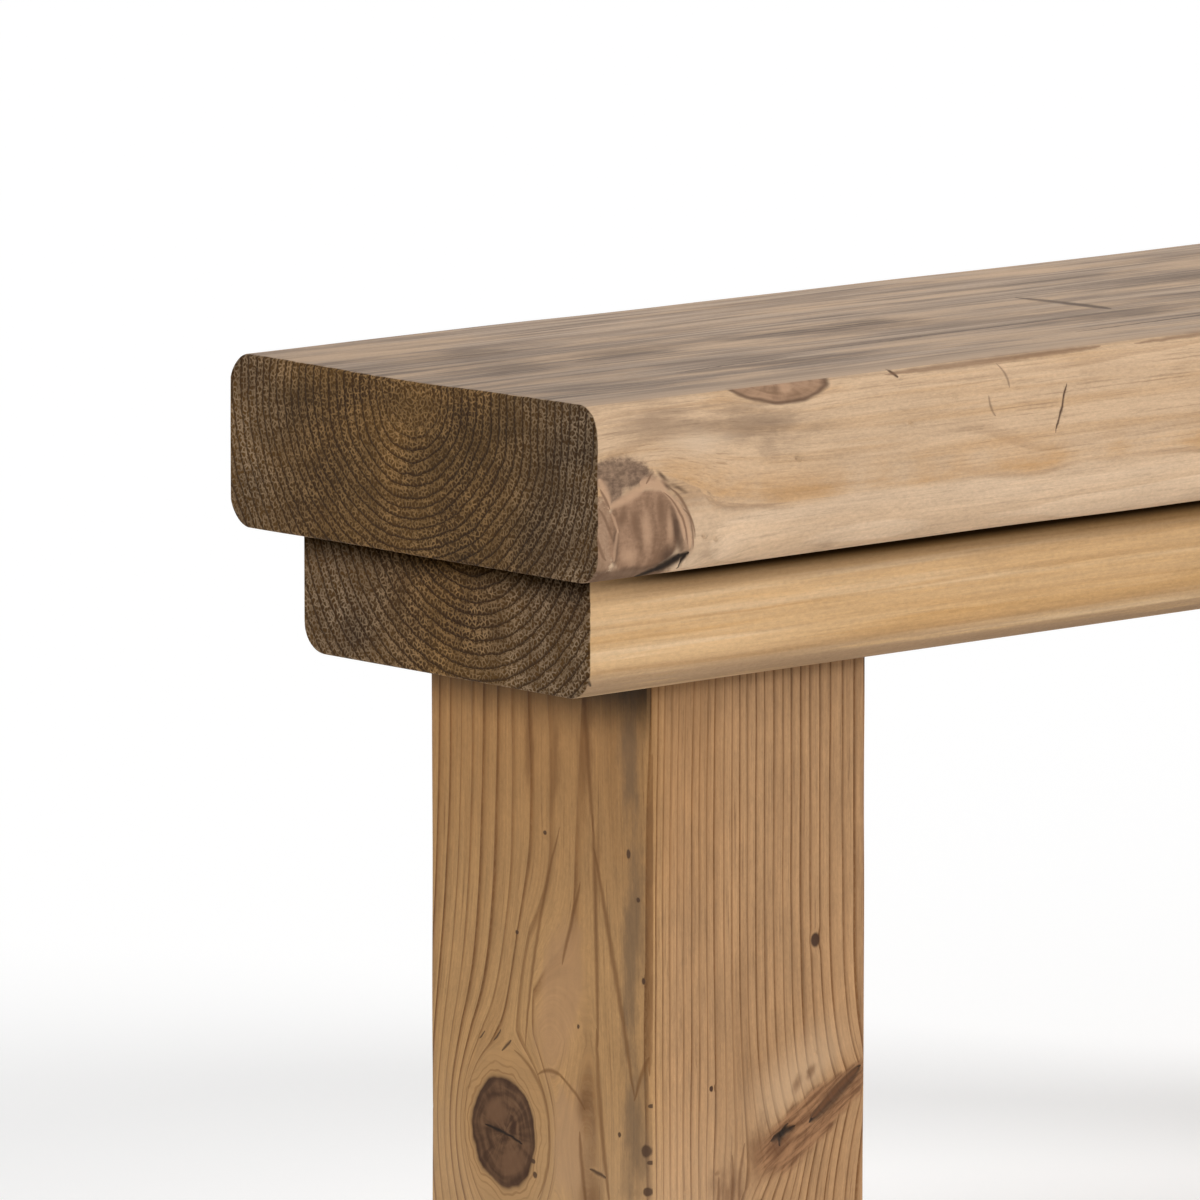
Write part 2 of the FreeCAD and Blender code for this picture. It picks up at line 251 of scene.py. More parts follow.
# %% Floor
FLOOR_HALF = 60.0
FLOOR_COLOUR, FLOOR_ROUGHNESS = (0.92, 0.92, 0.92, 1), 0.9
FLOOR_LIFT = 0.17
WHITE = (1, 1, 1, 1)


def seen_rays(tree):
    """1 for camera, glossy and transmission rays, which show the background, and 0 for the rest."""
    path = tree.nodes.new("ShaderNodeLightPath")
    seen = Field(path.outputs["Is Camera Ray"])
    for name in ("Is Glossy Ray", "Is Transmission Ray"):
        seen = calc("MAXIMUM", seen, Field(path.outputs[name]))
    return seen


def new_material(name):
    """A new material, with its tree and its shader."""
    material = bpy.data.materials.new(name)
    material.use_nodes = True
    return material, material.node_tree, material.node_tree.nodes["Principled BSDF"]


def floor_finish():
    """A matt white floor, lifted towards white where the camera sees it."""
    material, tree, shader = new_material("pale_floor")
    for name, value in (("Base Color", FLOOR_COLOUR), ("Roughness", FLOOR_ROUGHNESS),
                        ("Specular IOR Level", 0), ("Emission Color", WHITE),
                        ("Emission Strength", seen_rays(tree) * FLOOR_LIFT)):
        feed(shader.inputs[name], value)
    return material


corner = FLOOR_HALF * np.array([(-1, -1, 0), (1, -1, 0), (1, 1, 0), (-1, 1, 0)])
floor = piece_from_arrays("floor", corner, [(0, 1, 2, 3)], smooth=False)
floor.data.materials.append(floor_finish())
print(f"floor: {2 * FLOOR_HALF:.0f} m wide")

# %% Lamps
SURROUND_LEVEL = 0.42
LAMPS = {"key": (Vector((0.60, -0.71, 0.375)), 0.50, 18),
         "fill": (Vector((-0.90, -0.40, 0.15)), 0.28, 40),
         "overhead": (Vector((0.0, -0.05, 1.0)), 0.25, 60)}

world = bpy.data.worlds.new("white_surroundings")
world.use_nodes = True
scene.world = world
surround = world.node_tree.nodes["Background"]
feed(surround.inputs["Color"], WHITE)
level = field("MapRange", {"Value": seen_rays(world.node_tree), "To Min": SURROUND_LEVEL, "To Max": 1})
feed(surround.inputs["Strength"], level)


def soft_lamp(name, direction, level, spread):
    """A wide, even lamp from a direction. At level 1 it alone shows a facing colour as it is written."""
    data = bpy.data.lights.new(name, "SUN")
    data.angle = math.radians(spread)
    data.energy = level * math.pi
    lamp = bpy.data.objects.new(name, data)
    lamp.rotation_euler = direction.to_track_quat("Z", "Y").to_euler()
    scene.collection.objects.link(lamp)


for lamp_name, (lamp_from, lamp_level, lamp_spread) in LAMPS.items():
    soft_lamp(lamp_name, lamp_from, lamp_level, lamp_spread)
print("floor, surroundings and", len(LAMPS), "lamps")


# %% [markdown]
# ## The shape of a timber
# A timber is one profile, a rectangle with round corners, carried along its length. Each point of the profile
# is a centre plus a radius along an outward normal, so easing an end or sinking the surface is one
# subtraction along that normal. A cube with a Bevel modifier has the same outline, but this mesh can be dense
# just where the marks are.

# %% Timber profile
def timber_profile(middle, width, height, radius, steps_wide, steps_high, steps_round):
    """Centres and outward normals (n by 2) of the profile's points, anticlockwise from the middle of the
    lower left corner: point = centre + radius * normal. Returns them with the sides' numbers of steps."""
    half = steps_round // 2
    inner = np.array([width / 2 - radius, height / 2 - radius])
    corners = np.array([(-1, -1), (1, -1), (1, 1), (-1, 1)]) * inner
    centres, angles = [], []
    for side in range(4):
        steps = steps_high if side % 2 else steps_wide
        start, end = corners[side], corners[(side + 1) % 4]
        square = math.radians(270 + 90 * side)
        run = np.linspace(0, 1, steps + 1)[:, None]
        centres += [np.repeat(start[None], half, 0), start + run * (end - start),
                    np.repeat(end[None], half - 1, 0)]
        bend = np.linspace(-math.pi / 4, 0, half, endpoint=False)
        angles += [square + bend, np.full(steps + 1, square), square - bend[:0:-1]]
    angles = np.concatenate(angles)
    normals = np.stack([np.cos(angles), np.sin(angles)], 1)
    return np.concatenate(centres) + middle, normals, steps_wide + 2 * half, steps_high + 2 * half


# %% [markdown]
# The two ends are closed by a grid that blends the profile's four sides (a Coons patch), so the end grain
# gets an even mesh as well. One large face would close an end too, but it could not be uneven.

# %% Timber ends
def end_grid(outline, side_wide, side_high):
    """Places (wide + 1 by high + 1 by 2) of a patch whose rim is the outline, blended from its four sides,
    and the outline's point numbers on that rim (-1 inside)."""
    count = len(outline)
    marks = np.cumsum([0, side_wide, side_high, side_wide, side_high])
    index = [np.arange(a, b + 1) % count for a, b in zip(marks, marks[1:])]
    low, right, high, left = index[0], index[1], index[2][::-1], index[3][::-1]
    s = np.linspace(0, 1, side_wide + 1)[:, None, None]
    t = np.linspace(0, 1, side_high + 1)[None, :, None]
    ruled = (1 - t) * outline[low][:, None] + t * outline[high][:, None]
    across = (1 - s) * outline[left][None] + s * outline[right][None]
    a, b, c, d = (outline[i] for i in (low[0], low[-1], high[0], high[-1]))
    corners = (1 - s) * (1 - t) * a + s * (1 - t) * b + (1 - s) * t * c + s * t * d
    rim = np.full((side_wide + 1, side_high + 1), -1)
    rim[:, 0], rim[:, -1], rim[0], rim[-1] = low, high, left, right
    return ruled + across - corners, rim


# %% [markdown]
# The profile is carried from station to station and the ends are closed. Then every point sinks along its
# outward normal by the timber's relief. Displacement in a material could do that as well, but it would be
# missing from the exported mesh.

# %% Timber surface
def timber_surface(profile, radius, stations, relief, order):
    """Points and faces of a closed timber. stations are rows of (place along it, inset of the profile there).
    relief gives how far each point sinks along its outward normal. order says which of x, y, z are along,
    wide and high."""
    centres, normals, side_wide, side_high = profile
    stations = np.asarray(stations)
    count, rows = len(centres), len(stations)
    flat = centres + (radius - stations[:, 1, None, None]) * normals
    along = np.broadcast_to(stations[:, 0, None, None], (rows, count, 1))
    points = np.concatenate([along, flat], 2).reshape(-1, 3)
    outward = np.concatenate([np.zeros((rows, count, 1)), np.broadcast_to(normals, (rows, count, 2))], 2)
    ring = np.arange(count)
    turned = np.roll(ring, -1)
    base = (np.arange(rows - 1) * count)[:, None]
    sides = np.stack([base + ring, base + turned, base + count + turned, base + count + ring], 2)
    faces, points, outward = [sides.reshape(-1, 4)], [points], [outward.reshape(-1, 3)]
    for row, sign in ((0, -1), (rows - 1, 1)):
        grid, rim = end_grid(flat[row], side_wide, side_high)
        inside = rim < 0
        numbers = np.where(inside, np.cumsum(inside).reshape(rim.shape) - 1 + sum(map(len, points)),
                           rim + row * count)
        cap = np.stack([numbers[:-1, :-1], numbers[1:, :-1], numbers[1:, 1:], numbers[:-1, 1:]], 2)
        faces.append(cap.reshape(-1, 4)[:, ::sign])
        places = grid[inside]
        points.append(np.column_stack([np.full(len(places), stations[row, 0]), places]))
        outward.append(np.tile((float(sign), 0, 0), (len(places), 1)))
    points, outward = np.concatenate(points), np.concatenate(outward)
    world_points, world_outward = np.empty_like(points), np.empty_like(outward)
    world_points[:, order], world_outward[:, order] = points, outward
    sunk = np.maximum(relief(world_points, world_outward), 0)
    return world_points - sunk[:, None] * world_outward, np.concatenate(faces).tolist()


def eased_end(radius, steps):
    """Rows of (distance from the end, inset) of a quarter round at a sawn end."""
    angle = np.linspace(0, math.pi / 2, steps + 1)
    return np.column_stack([radius * (1 - np.cos(angle)), radius * (1 - np.sin(angle))])


def stations_between(low, high, low_end, high_end, middle):
    """Rows along a timber from low to high: its eased low end, its middle places and its eased high end."""
    first = np.column_stack([low + low_end[:, 0], low_end[:, 1]])
    last = np.column_stack([high - high_end[:, 0], high_end[:, 1]])[::-1]
    return np.concatenate([first, np.column_stack([middle, np.zeros(len(middle))]), last])


# %% [markdown]
# ## Unevenness
# Planed timber is never quite flat: it cups, the plane leaves long low waves, and the edges wear unevenly.
# Sums of a few sine waves with seeded directions give such waves as a plain formula. A Displace modifier
# could make them too, but a formula of the place is the same on every mesh.

# %% Waves
def waves(points, lengths, count, seed):
    """Between 0 and 1: a sum of sine waves, whose lengths along x, y and z (metres) are about those given."""
    draw = np.random.default_rng(seed)
    steepness = draw.uniform(0.6, 1.6, (count, 3)) * draw.choice((-1, 1), (count, 3)) / np.asarray(lengths)
    offset = draw.uniform(0, 2 * math.pi, count)
    total = np.sin(points @ (2 * math.pi * steepness.T) + offset).sum(1)
    return 0.5 + 0.5 * np.tanh(total / math.sqrt(count))


# %% [markdown]
# ## Marks on the wood
# Splits, knots and pins change the shape as well as the colour, so they are listed once and used twice. All
# are in millimetres on the face that they are on. A line is its start, its end, the thickness at its middle
# and the bulge to the left of its way. A spot is its middle, its half width, its half height and its turn in
# degrees. Marks could be sculpted and painted with a brush, but as numbers they can be moved one by one.

# %% Marks
CORNER_LOBE = (25.5, 20, 18.5, 16)
LOBE_POWER = 2.8
CORNER_SPLITS = [(50.5, 9, 43, 6.5, 4.6, 0.3), (46.5, 8.2, 36, 2.6, 6.8, 0.4), (39, 4, 26, -0.5, 4.4, 0),
                 (49, 8.5, 47, 2, 2.8, 0)]
SEAT_HALF_KNOT = (-496, 452, 27, 10, 0)
SEAT_CHECKS = [(-343, 436, -349, 416, 2.2, 0.8), (-436, 449.5, -433.5, 446, 2.8, 0)]
LEG_OVAL = (20, 130.5, 19.3, 22.8, -8)
LEG_SPIKE = (-470, 116, -412, 154, 22, 0)
LEG_SLOTS = [(-443, 135.5, -414, 155.8, 9, 0)]
LEG_HOLES = [(-464, 130.6, -450, 135, 6, 0), (-459.5, 128, -454.5, 137, 5, 0)]
LEG_OVAL_CRACKS = [(32, 132.3, 15, 129.2, 2.4, 0), (17, 129.7, 9, 127, 2.2, 0)]
LEG_END_DASHES = [(21.6, 173.2, 26.4, 167.8, 1.9, 0), (15.3, 169.8, 21.2, 164.2, 2.3, 0),
                  (31.6, 171, 35, 167.4, 1.3, 0), (-33, 123.2, -43, 121, 3, 0)]
LEG_END_PINS = [(-65.3, 135.3, 2.2, 3.2, 0), (-66.6, 130.5, 1, 1.1, 0), (-65.8, 118.5, 1.8, 2.2, 0),
                (-50.8, 140, 1, 1.4, 0), (-66.8, 153.8, 1, 1.1, 0), (-25.7, 181, 0.9, 1.2, 0),
                (2.2, 121, 1.8, 1.2, 10), (1.2, 115.5, 1.7, 1.8, 0), (-5.4, 258.2, 1.3, 1.2, 0),
                (11.7, 214.8, 1.2, 1.1, 0), (-56, 256, 1.5, 2.4, 0), (-62, 238, 1.2, 1.3, 0),
                (-64.5, 205, 0.9, 1.6, 0)]
LEG_FRONT_PINS = [(-439.5, 211, 3, 3.8, 0), (-497, 156.7, 1.2, 1.5, 0)]


def line_dent(a, b, start_a, start_b, end_a, end_b, thick, bulge):
    """1 along a line that tapers to both ends, falling evenly to 0 at its sides."""
    long_a, long_b = end_a - start_a, end_b - start_b
    length = math.hypot(long_a, long_b)
    run = ((a - start_a) * long_a + (b - start_b) * long_b) / length ** 2
    side = ((b - start_b) * long_a - (a - start_a) * long_b) / length
    swell = np.clip(4 * run * (1 - run), 0.0001, 1)
    return np.clip(1 - np.abs(side - bulge * swell) / (0.6 * thick * np.sqrt(swell)), 0, 1)


def line_dents(a, b, marks, deep, thick=None):
    """How deep each line is sunk. A thickness for all of them helps where they are thinner than the mesh."""
    return [deep * line_dent(a, b, *mark[:4], thick or mark[4], mark[5]) for mark in marks]


def spot_reach(a, b, middle_a, middle_b, wide, high, turn):
    """0 at the middle of a turned ellipse, 1 on its rim, and more outside."""
    cos, sin = math.cos(math.radians(turn)), math.sin(math.radians(turn))
    off_a, off_b = a - middle_a, b - middle_b
    return np.hypot((off_a * cos + off_b * sin) / wide, (off_b * cos - off_a * sin) / high)


def spot_dents(a, b, marks, deep):
    """How deep each small spot is sunk, with a slope outside its rim."""
    return [deep * np.clip(1.6 - spot_reach(a, b, *mark), 0, 1) for mark in marks]


def knot_dents(reach, steep, deep, groove, rim, wide):
    """How deep a knot has dried below the wood, and how deep the groove at its rim is."""
    return [deep * np.clip(steep - steep * reach, 0, 1),
            groove * np.clip(1 - np.abs(reach - rim) / wide, 0, 1)]


# %% [markdown]
# ## The seat beam
# The seat beam's sizes come from its solid. Its mesh is closest at the end that the camera sees, where the
# knots and splits are, and wider apart beyond. The corner knot has dried lower than the wood round it, with a
# groove round its lobe, and the splits under it are open. The solid itself has too few points for that, so
# this surface takes its place.

# %% Seat beam
SEAT_EDGE = 11 * MM
SEAT_STEPS = 60, 30, 10
SAWN_ARRIS = 1.5 * MM
THIN_DENT = 3.5
END_MARGIN = 4 * MM
CLOSE_REACH, CLOSE_STEP, NEXT_STEP, FAR_ROWS = 0.40, 2 * MM, 3 * MM, 205
seat_low, seat_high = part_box("seat_beam")
seat_size = seat_high - seat_low
seat_middle = (seat_low + seat_high) / 2


def in_mm(length):
    """A length of the frame in millimetres, to a thousandth."""
    return round(length / MM, 3)


SEAT_HALF, SEAT_FRONT, SEAT_TOP = in_mm(seat_high.x), in_mm(seat_low.y), in_mm(seat_high.z)
CORNER = in_mm(seat_low.x), in_mm(seat_low.z)


def seat_relief(points, outward):
    """The seat's top is cupped by under a millimetre, its faces wave, its round edges are worn, the far ones
    most, and the knots and splits on its front are sunk."""
    x, _, z = points.T / MM
    top = np.clip(outward[:, 2], 0, 1)
    cup = 0.9 * top * (1 - (points[:, 1] / (seat_size.y / 2)) ** 2)
    wave = 0.5 * waves(points, (0.35, 0.12, 0.12), 7, 3)
    edge = np.abs(outward[:, 1] * outward[:, 2]) * 2
    worn = edge * (0.6 * waves(points, (0.16, 0.5, 0.5), 9, 5) + 0.5 * np.clip(outward[:, 1], 0, 1))
    front = np.clip(-2 * outward[:, 1] - 0.4, 0, 1)
    s, h = x - CORNER[0], z - CORNER[1]
    middle_s, middle_h, wide, high = CORNER_LOBE
    lobe = np.abs((s - middle_s) / wide) ** LOBE_POWER + np.abs((h - middle_h) / high) ** LOBE_POWER
    half = spot_reach(x, z, *SEAT_HALF_KNOT)
    knots = knot_dents(lobe ** (1 / LOBE_POWER), 4, 0.5, 0.7, 1.02, 0.13)
    knots += knot_dents(half, 4, 0.3, 0.4, 1, 0.2)
    splits = line_dents(s, h, CORNER_SPLITS, 2.2) + line_dents(x, z, SEAT_CHECKS, 0.8, THIN_DENT)
    return (cup + wave + worn + front * (sum(knots) + np.max(splits, 0))) * MM


def seat_stations():
    """Rows along the seat: every 2 mm near the seen end, then wider."""
    low, high = seat_low.x, seat_high.x
    close = np.arange(low + END_MARGIN, low + CLOSE_REACH, CLOSE_STEP)
    wide = np.linspace(close[-1] + NEXT_STEP, high - END_MARGIN, FAR_ROWS)
    end = eased_end(SAWN_ARRIS, 4)
    return stations_between(low, high, end, end, np.concatenate([close, wide]))


seat_profile = timber_profile(
    (seat_middle.y, seat_middle.z), seat_size.y, seat_size.z, SEAT_EDGE, *SEAT_STEPS)
seat_points, seat_faces = timber_surface(seat_profile, SEAT_EDGE, seat_stations(), seat_relief, [0, 1, 2])
seat = piece_from_arrays("seat_timber", seat_points, seat_faces)
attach(seat, "root")
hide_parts("seat_beam")
print(f"seat: {len(seat_points)} points, {2 * len(seat_faces)} triangles")

# %% [markdown]
# ## The legs
# A leg is the same kind of surface, set upright, with a chamfer round its foot. Its tenon goes up through the
# under beam and is spread by wedges in two saw kerfs. That part is hidden in the joint, so it is a plain
# block with the kerfs cut in its outline.

# %% Legs
LEG_EDGE = 5 * MM
LEG_STEPS, LEG_ROWS = (60, 66, 4), 240
FOOT_MARGIN, SHOULDER_MARGIN = 6 * MM, 1 * MM
FOOT_CHAMFER = 4 * MM
TENON_HALF, TENON_SPREAD, TENON_DEEP = 37 * MM, 4 * MM, 48 * MM
KERF_INNER, KERF_OUTER, KERF_FOOT = 17.75 * MM, 20.25 * MM, 11 * MM
under_low, under_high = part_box("under_beam")


def leg_relief(points, outward):
    """A leg's faces wave slightly and its edges are worn. Knots, slots and pins on the left leg are sunk."""
    x, y, z = points.T / MM
    wave = 0.3 * waves(points, (0.10, 0.10, 0.25), 7, 11)
    edge = np.abs(outward[:, 0] * outward[:, 1]) * 2
    worn = 0.3 * edge * waves(points, (0.5, 0.5, 0.11), 9, 13)
    end = np.clip(-3 * outward[:, 0] - 2, 0, 1)
    front = np.clip(-3 * outward[:, 1] - 2, 0, 1) * (x < 0)
    end_marks = (knot_dents(spot_reach(y, z, *LEG_OVAL), 5, 0.5, 0.6, 1, 0.12)
                 + line_dents(y, z, LEG_OVAL_CRACKS, 1, THIN_DENT)
                 + line_dents(y, z, LEG_END_DASHES, 0.8, THIN_DENT) + spot_dents(y, z, LEG_END_PINS, 0.7))
    front_marks = (line_dents(x, z, [LEG_SPIKE], 0.5) + line_dents(x, z, LEG_SLOTS, 1.2)
                   + line_dents(x, z, LEG_HOLES, 2) + spot_dents(x, z, LEG_FRONT_PINS, 0.8))
    return (wave + worn + end * np.max(end_marks, 0) + front * np.max(front_marks, 0)) * MM


def tenon_block(middle_x, first):
    """Points and faces of the tenon: an outline with two kerfs, carried straight across the bench."""
    rise = under_high.z - under_low.z
    half = [(TENON_HALF, 0), (TENON_HALF, KERF_FOOT), (TENON_HALF + TENON_SPREAD, rise),
            (KERF_OUTER + TENON_SPREAD, rise), (KERF_OUTER, KERF_FOOT), (KERF_INNER, KERF_FOOT),
            (KERF_INNER, rise)]
    outline = np.array(half + [(-x, z) for x, z in half[::-1]])
    x, z = (outline + (middle_x, under_low.z)).T
    near, far = (np.column_stack([x, np.full(len(x), y), z]) for y in (-TENON_DEEP, TENON_DEEP))
    ring = np.arange(len(x))
    turned = np.roll(ring, -1)
    sides = np.stack([turned, ring, ring + len(x), turned + len(x)], 1) + first
    ends = [(ring + first).tolist(), (ring[::-1] + len(x) + first).tolist()]
    return np.concatenate([near, far]), ends + sides.tolist()


def make_leg(node, name):
    """One post leg round the middle of its solid, from the floor to the under beam, and its tenon above."""
    low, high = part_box(node)
    size, middle = high - low, (low + high) / 2
    profile = timber_profile((middle.x, middle.y), size.x, size.y, LEG_EDGE, *LEG_STEPS)
    foot = np.array([(0, FOOT_CHAMFER), (FOOT_CHAMFER, 0)])
    shoulder = np.array([(0, 0)])
    rows = np.linspace(FOOT_MARGIN, under_low.z - SHOULDER_MARGIN, LEG_ROWS)
    stations = stations_between(0, under_low.z, foot, shoulder, rows)
    points, faces = timber_surface(profile, LEG_EDGE, stations, leg_relief, [2, 0, 1])
    tenon_points, tenon_faces = tenon_block(middle.x, len(points))
    leg = piece_from_arrays(name, np.concatenate([points, tenon_points]), faces + tenon_faces)
    for face in leg.data.polygons[len(faces):]:
        face.use_smooth = False
    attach(leg, "root")
    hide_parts(node)
    print(f"{name}: {len(points)} points, {2 * len(faces)} triangles")
    return leg


left_leg = make_leg("left_leg", "left_post")
right_leg = make_leg("right_leg", "right_post")


# %% [markdown]
# ## What wood is made of
# A tree adds a ring each year: pale early wood that darkens slowly outwards and ends in a thin dark line. On
# a long face the rings show as lines and bands, and the cut cells as fine streaks. On a sawn end the rings
# are arcs, and the torn cells between them a net of pale, wriggling lines. A Wave texture can draw rings too,
# but it can't give each ring its own tone.

# %% Grain effects
def growth_rings(place, spacing, power, sway, shake, uneven, seed):
    """Rings round the heart: how many so far, the dark line, the slow darkening and a chance tone."""
    along, across, up = parts(place)
    drift = ripple(along / 170 + seed, across / 60, up / 60)
    jolt = ripple(along / 170 + seed, across / 6, up / 6)
    radius = root(across * across + up * up) + drift * sway + jolt * shake
    phase = (calc("MAXIMUM", radius, 0.1) / spacing) ** power
    phase = phase + ripple(phase * 0.8, along / 700, seed) * uneven
    within = calc("FRACT", phase)
    edge = ramp(within, 1, 0.93)
    line = ramp(within, 0.62, 0.92) * edge
    soft = ramp(within, 0.15, 0.95) * edge
    return phase, line, soft, chance(calc("FLOOR", phase) + seed)


def fibres(place, seed):
    """Streaks along the grain: fine and broad ones, soft clouds and grit."""
    along, across, up = parts(place)
    fine = noise(join(along / 38 + seed, across * 0.9, up * 0.9), 3, 0.6)
    broad = noise(join(along / 150 + seed, across / 6, up / 6))
    cloud = noise(join(along / 90 + seed, across / 40, up / 40))
    grit = noise(join(along / 2.5 + seed, across, up), 3, 0.7)
    return fine, broad, cloud, grit


def end_net(place, phase, spacing, power, seed):
    """Torn cells on a sawn end: a net of pale lines inside each ring, and paler and darker rays."""
    _, across, up = parts(place)
    angle = calc("ARCTAN2", across, up * -1)
    ring = calc("FLOOR", phase)
    bend = (ring + 0.5) ** (1 / power) * spacing
    radius = root(across * across + up * up)
    walls = cell_walls(join(angle * bend / 2.1 + ring * 7.3, radius / 2 + seed, 0))
    torn = noise(join(across / 2.2 + seed, up / 2.2, seed))
    ray = noise(join(angle * 6, phase * 0.25, seed + 3))
    within = calc("FRACT", phase)
    rim = ramp(within, 0.02, 0.14) * ramp(within, 0.40, 0.18) * ramp(torn, 0.40, 0.56)
    return calc("MAXIMUM", ramp(walls, 0.27, 0.06) * ramp(torn, 0.32, 0.52), rim * 0.8), ray


def hairlines(along, across, seed):
    """Long thin lines where two smooth noises cross their middle value."""
    wave = noise(join(along / 620 + seed, across / 19, seed), 3)
    twin = noise(join(along / 460 + seed, across / 12, seed + 4))
    return (calc("MAXIMUM", ramp(abs(wave - 0.5), 0.045, 0), ramp(abs(twin - 0.5), 0.05, 0)),)


def knot(u, v, seed):
    """A knot of radius 1: its body, its rim, the halo round it, its shells and the arcs outside."""
    wobble = ripple(u * 1.3 + seed, v * 1.3, seed)
    reach = root(u * u + v * v) + wobble * 0.3
    body = ramp(reach, 1.03, 0.97)
    rim = ramp(reach, 0.86, 0.97) * ramp(reach, 1.10, 1)
    halo = ramp(reach, 1.8, 1.1)
    far = calc("MAXIMUM", reach, 0.05)
    shells = noise(join(reach * 6.5 + seed, u / far * 0.9, v / far * 0.9))
    fan = noise(join(reach * 1.4, u / far * 5, v / far * 5 + seed))
    swing = ramp(calc("COSINE", reach * 46 + wobble * 9), 0.3, 1)
    return body, rim, halo, shells * 0.6 + fan * 0.4, swing * ramp(reach, 1.5, 1.1) * ramp(reach, 1, 1.06)


RINGS = make_group(growth_rings, ("Place", "Spacing", "Power", "Sway", "Shake", "Uneven", "Seed"),
                   ("Phase", "Line", "Soft", "Tone"))
FIBRES = make_group(fibres, ("Place", "Seed"), ("Fine", "Broad", "Cloud", "Grit"))
END_NET = make_group(end_net, ("Place", "Phase", "Spacing", "Power", "Seed"), ("Net", "Ray"))
HAIRLINES = make_group(hairlines, ("Along", "Across", "Seed"), ("Line",))
KNOT = make_group(knot, ("U", "V", "Seed"), ("Body", "Rim", "Halo", "Shells", "Arcs"))
print("wood effects:", ", ".join(group.name for group in (RINGS, FIBRES, END_NET, HAIRLINES, KNOT)))


# %% [markdown]
# ## Painting the marks
# The lines and spots that the shape already has get their colours here, by the same formulas as fields. A
# face's own coordinate is moved far away where the surface isn't on that face, so that a mark on the front
# doesn't show on the back. A painted picture could hold the marks, but it would need a UV map and would blur
# from near by.

# %% Line and spot effects
def line_mark(a, b, wobble, start_a, start_b, end_a, end_b, thick, bulge):
    """1 on a tapering line, as in line_dent, with an uneven edge."""
    long_a, long_b = end_a - start_a, end_b - start_b
    length = root(long_a * long_a + long_b * long_b)
    off_a, off_b = a - start_a, b - start_b
    run = (off_a * long_a + off_b * long_b) / (length * length)
    side = (off_b * long_a - off_a * long_b) / length
    swell = calc("MAXIMUM", run * (1 - run) * 4, 0.0001)
    off = abs(side - bulge * swell + wobble)
    half = thick * root(swell) * 0.5
    return (ramp(off, half, half * 0.1) * calc("GREATER_THAN", swell, 0.001),)


def turned_spot(a, b, middle_a, middle_b, wide, high, turn):
    """Distances from a spot's middle along its two axes, as shares of its half sizes."""
    cos, sin = calc("COSINE", turn), calc("SINE", turn)
    off_a, off_b = a - middle_a, b - middle_b
    return (off_a * cos + off_b * sin) / wide, (off_b * cos - off_a * sin) / high


LINE = make_group(
    line_mark, ("A", "B", "Wobble", "Start A", "Start B", "End A", "End B", "Thickness", "Bulge"), ("Mask",))
SPOT = make_group(turned_spot, ("A", "B", "Middle A", "Middle B", "Wide", "High", "Turn"), ("U", "V"))
FAR_AWAY = 20000


def on_face(a, b, off, deep=12):
    """A face's two coordinates, the first moved far away where the surface is more than deep off the face."""
    return a + ramp(abs(off), deep, deep + 0.5) * FAR_AWAY, b


def spot_field(face, middle_a, middle_b, wide, high, turn):
    """The two distances of a turned spot on a face."""
    return use(SPOT, *face, middle_a, middle_b, wide, high, math.radians(turn))


# %% [markdown]
# A finish is painted in layers, each with a share that says how much of it covers what is below. Each layer
# is one Mix node, so the order of the lines is the order of the paint.

# %% Coat
class Coat:
    """A colour that is painted in layers. A share of 1 covers what is below."""

    def __init__(self, colour):
        self.colour = colour

    def wash(self, share, tint):
        """One colour over all of it, with a share that varies."""
        self.colour = blend(share, self.colour, tint)

    def shade(self, factor):
        """Lighter or darker by a factor."""
        self.colour = shade(self.colour, factor)

    def lines(self, face, wobble, tint, share, marks):
        """Tapering lines on a face."""
        for mark in marks:
            mask, = use(LINE, *face, wobble, *mark)
            self.wash(mask * share, tint)

    def spots(self, face, rough, tint, share, marks, soft=1):
        """Spots with uneven rims on a face. soft is the rim's share of the spot."""
        for mark in marks:
            u, v = spot_field(face, *mark)
            self.wash(ramp(root(u * u + v * v) + rough, 1, 1 - soft) * share, tint)


# %% [markdown]
# All woods share the way that a finish starts, from the place on the surface, and ends, in a dull shader. The
# place is in millimetres, because the marks are.

# %% Wood shader
DULL_SHINE = 0.15


def new_finish(name):
    """An empty wood material: its shader, the surface place in millimetres and the outward normal."""
    material, tree, shader = new_material(name)
    where, facing = tree.nodes.new("ShaderNodeTexCoord"), tree.nodes.new("ShaderNodeNewGeometry")
    place = [value / MM for value in parts(Field(where.outputs["Object"]))]
    return material, shader, place, parts(Field(facing.outputs["True Normal"]))


def dull_wood(shader, colour, rough, height, deep):
    """Connect a wood's colour, its roughness and its fine relief, some metres deep."""
    feed(shader.inputs["Base Color"], colour)
    feed(shader.inputs["Roughness"], rough)
    shader.inputs["Specular IOR Level"].default_value = DULL_SHINE
    feed(shader.inputs["Normal"], field("Bump", {"Height": height, "Distance": deep, "Strength": 1}))


def tell_finish(piece):
    """Say how many nodes a piece's finish has."""
    finish = piece.data.materials[0]
    print(f"{finish.name}: {len(finish.node_tree.nodes)} nodes")


# %% [markdown]
# ## The seat's finish
# The seat is old softwood: sawn end grain gone dark, a top worn to grey, and warm tan sides. The heart of the
# log lies just under the seat's top, so its rings cross the end as arcs and run along the front as a few wide
# bands. Where a knot comes through, the grain flows round it. Each face could have a material of its own, but
# in a single one the rings run on from face to face, as in real wood.

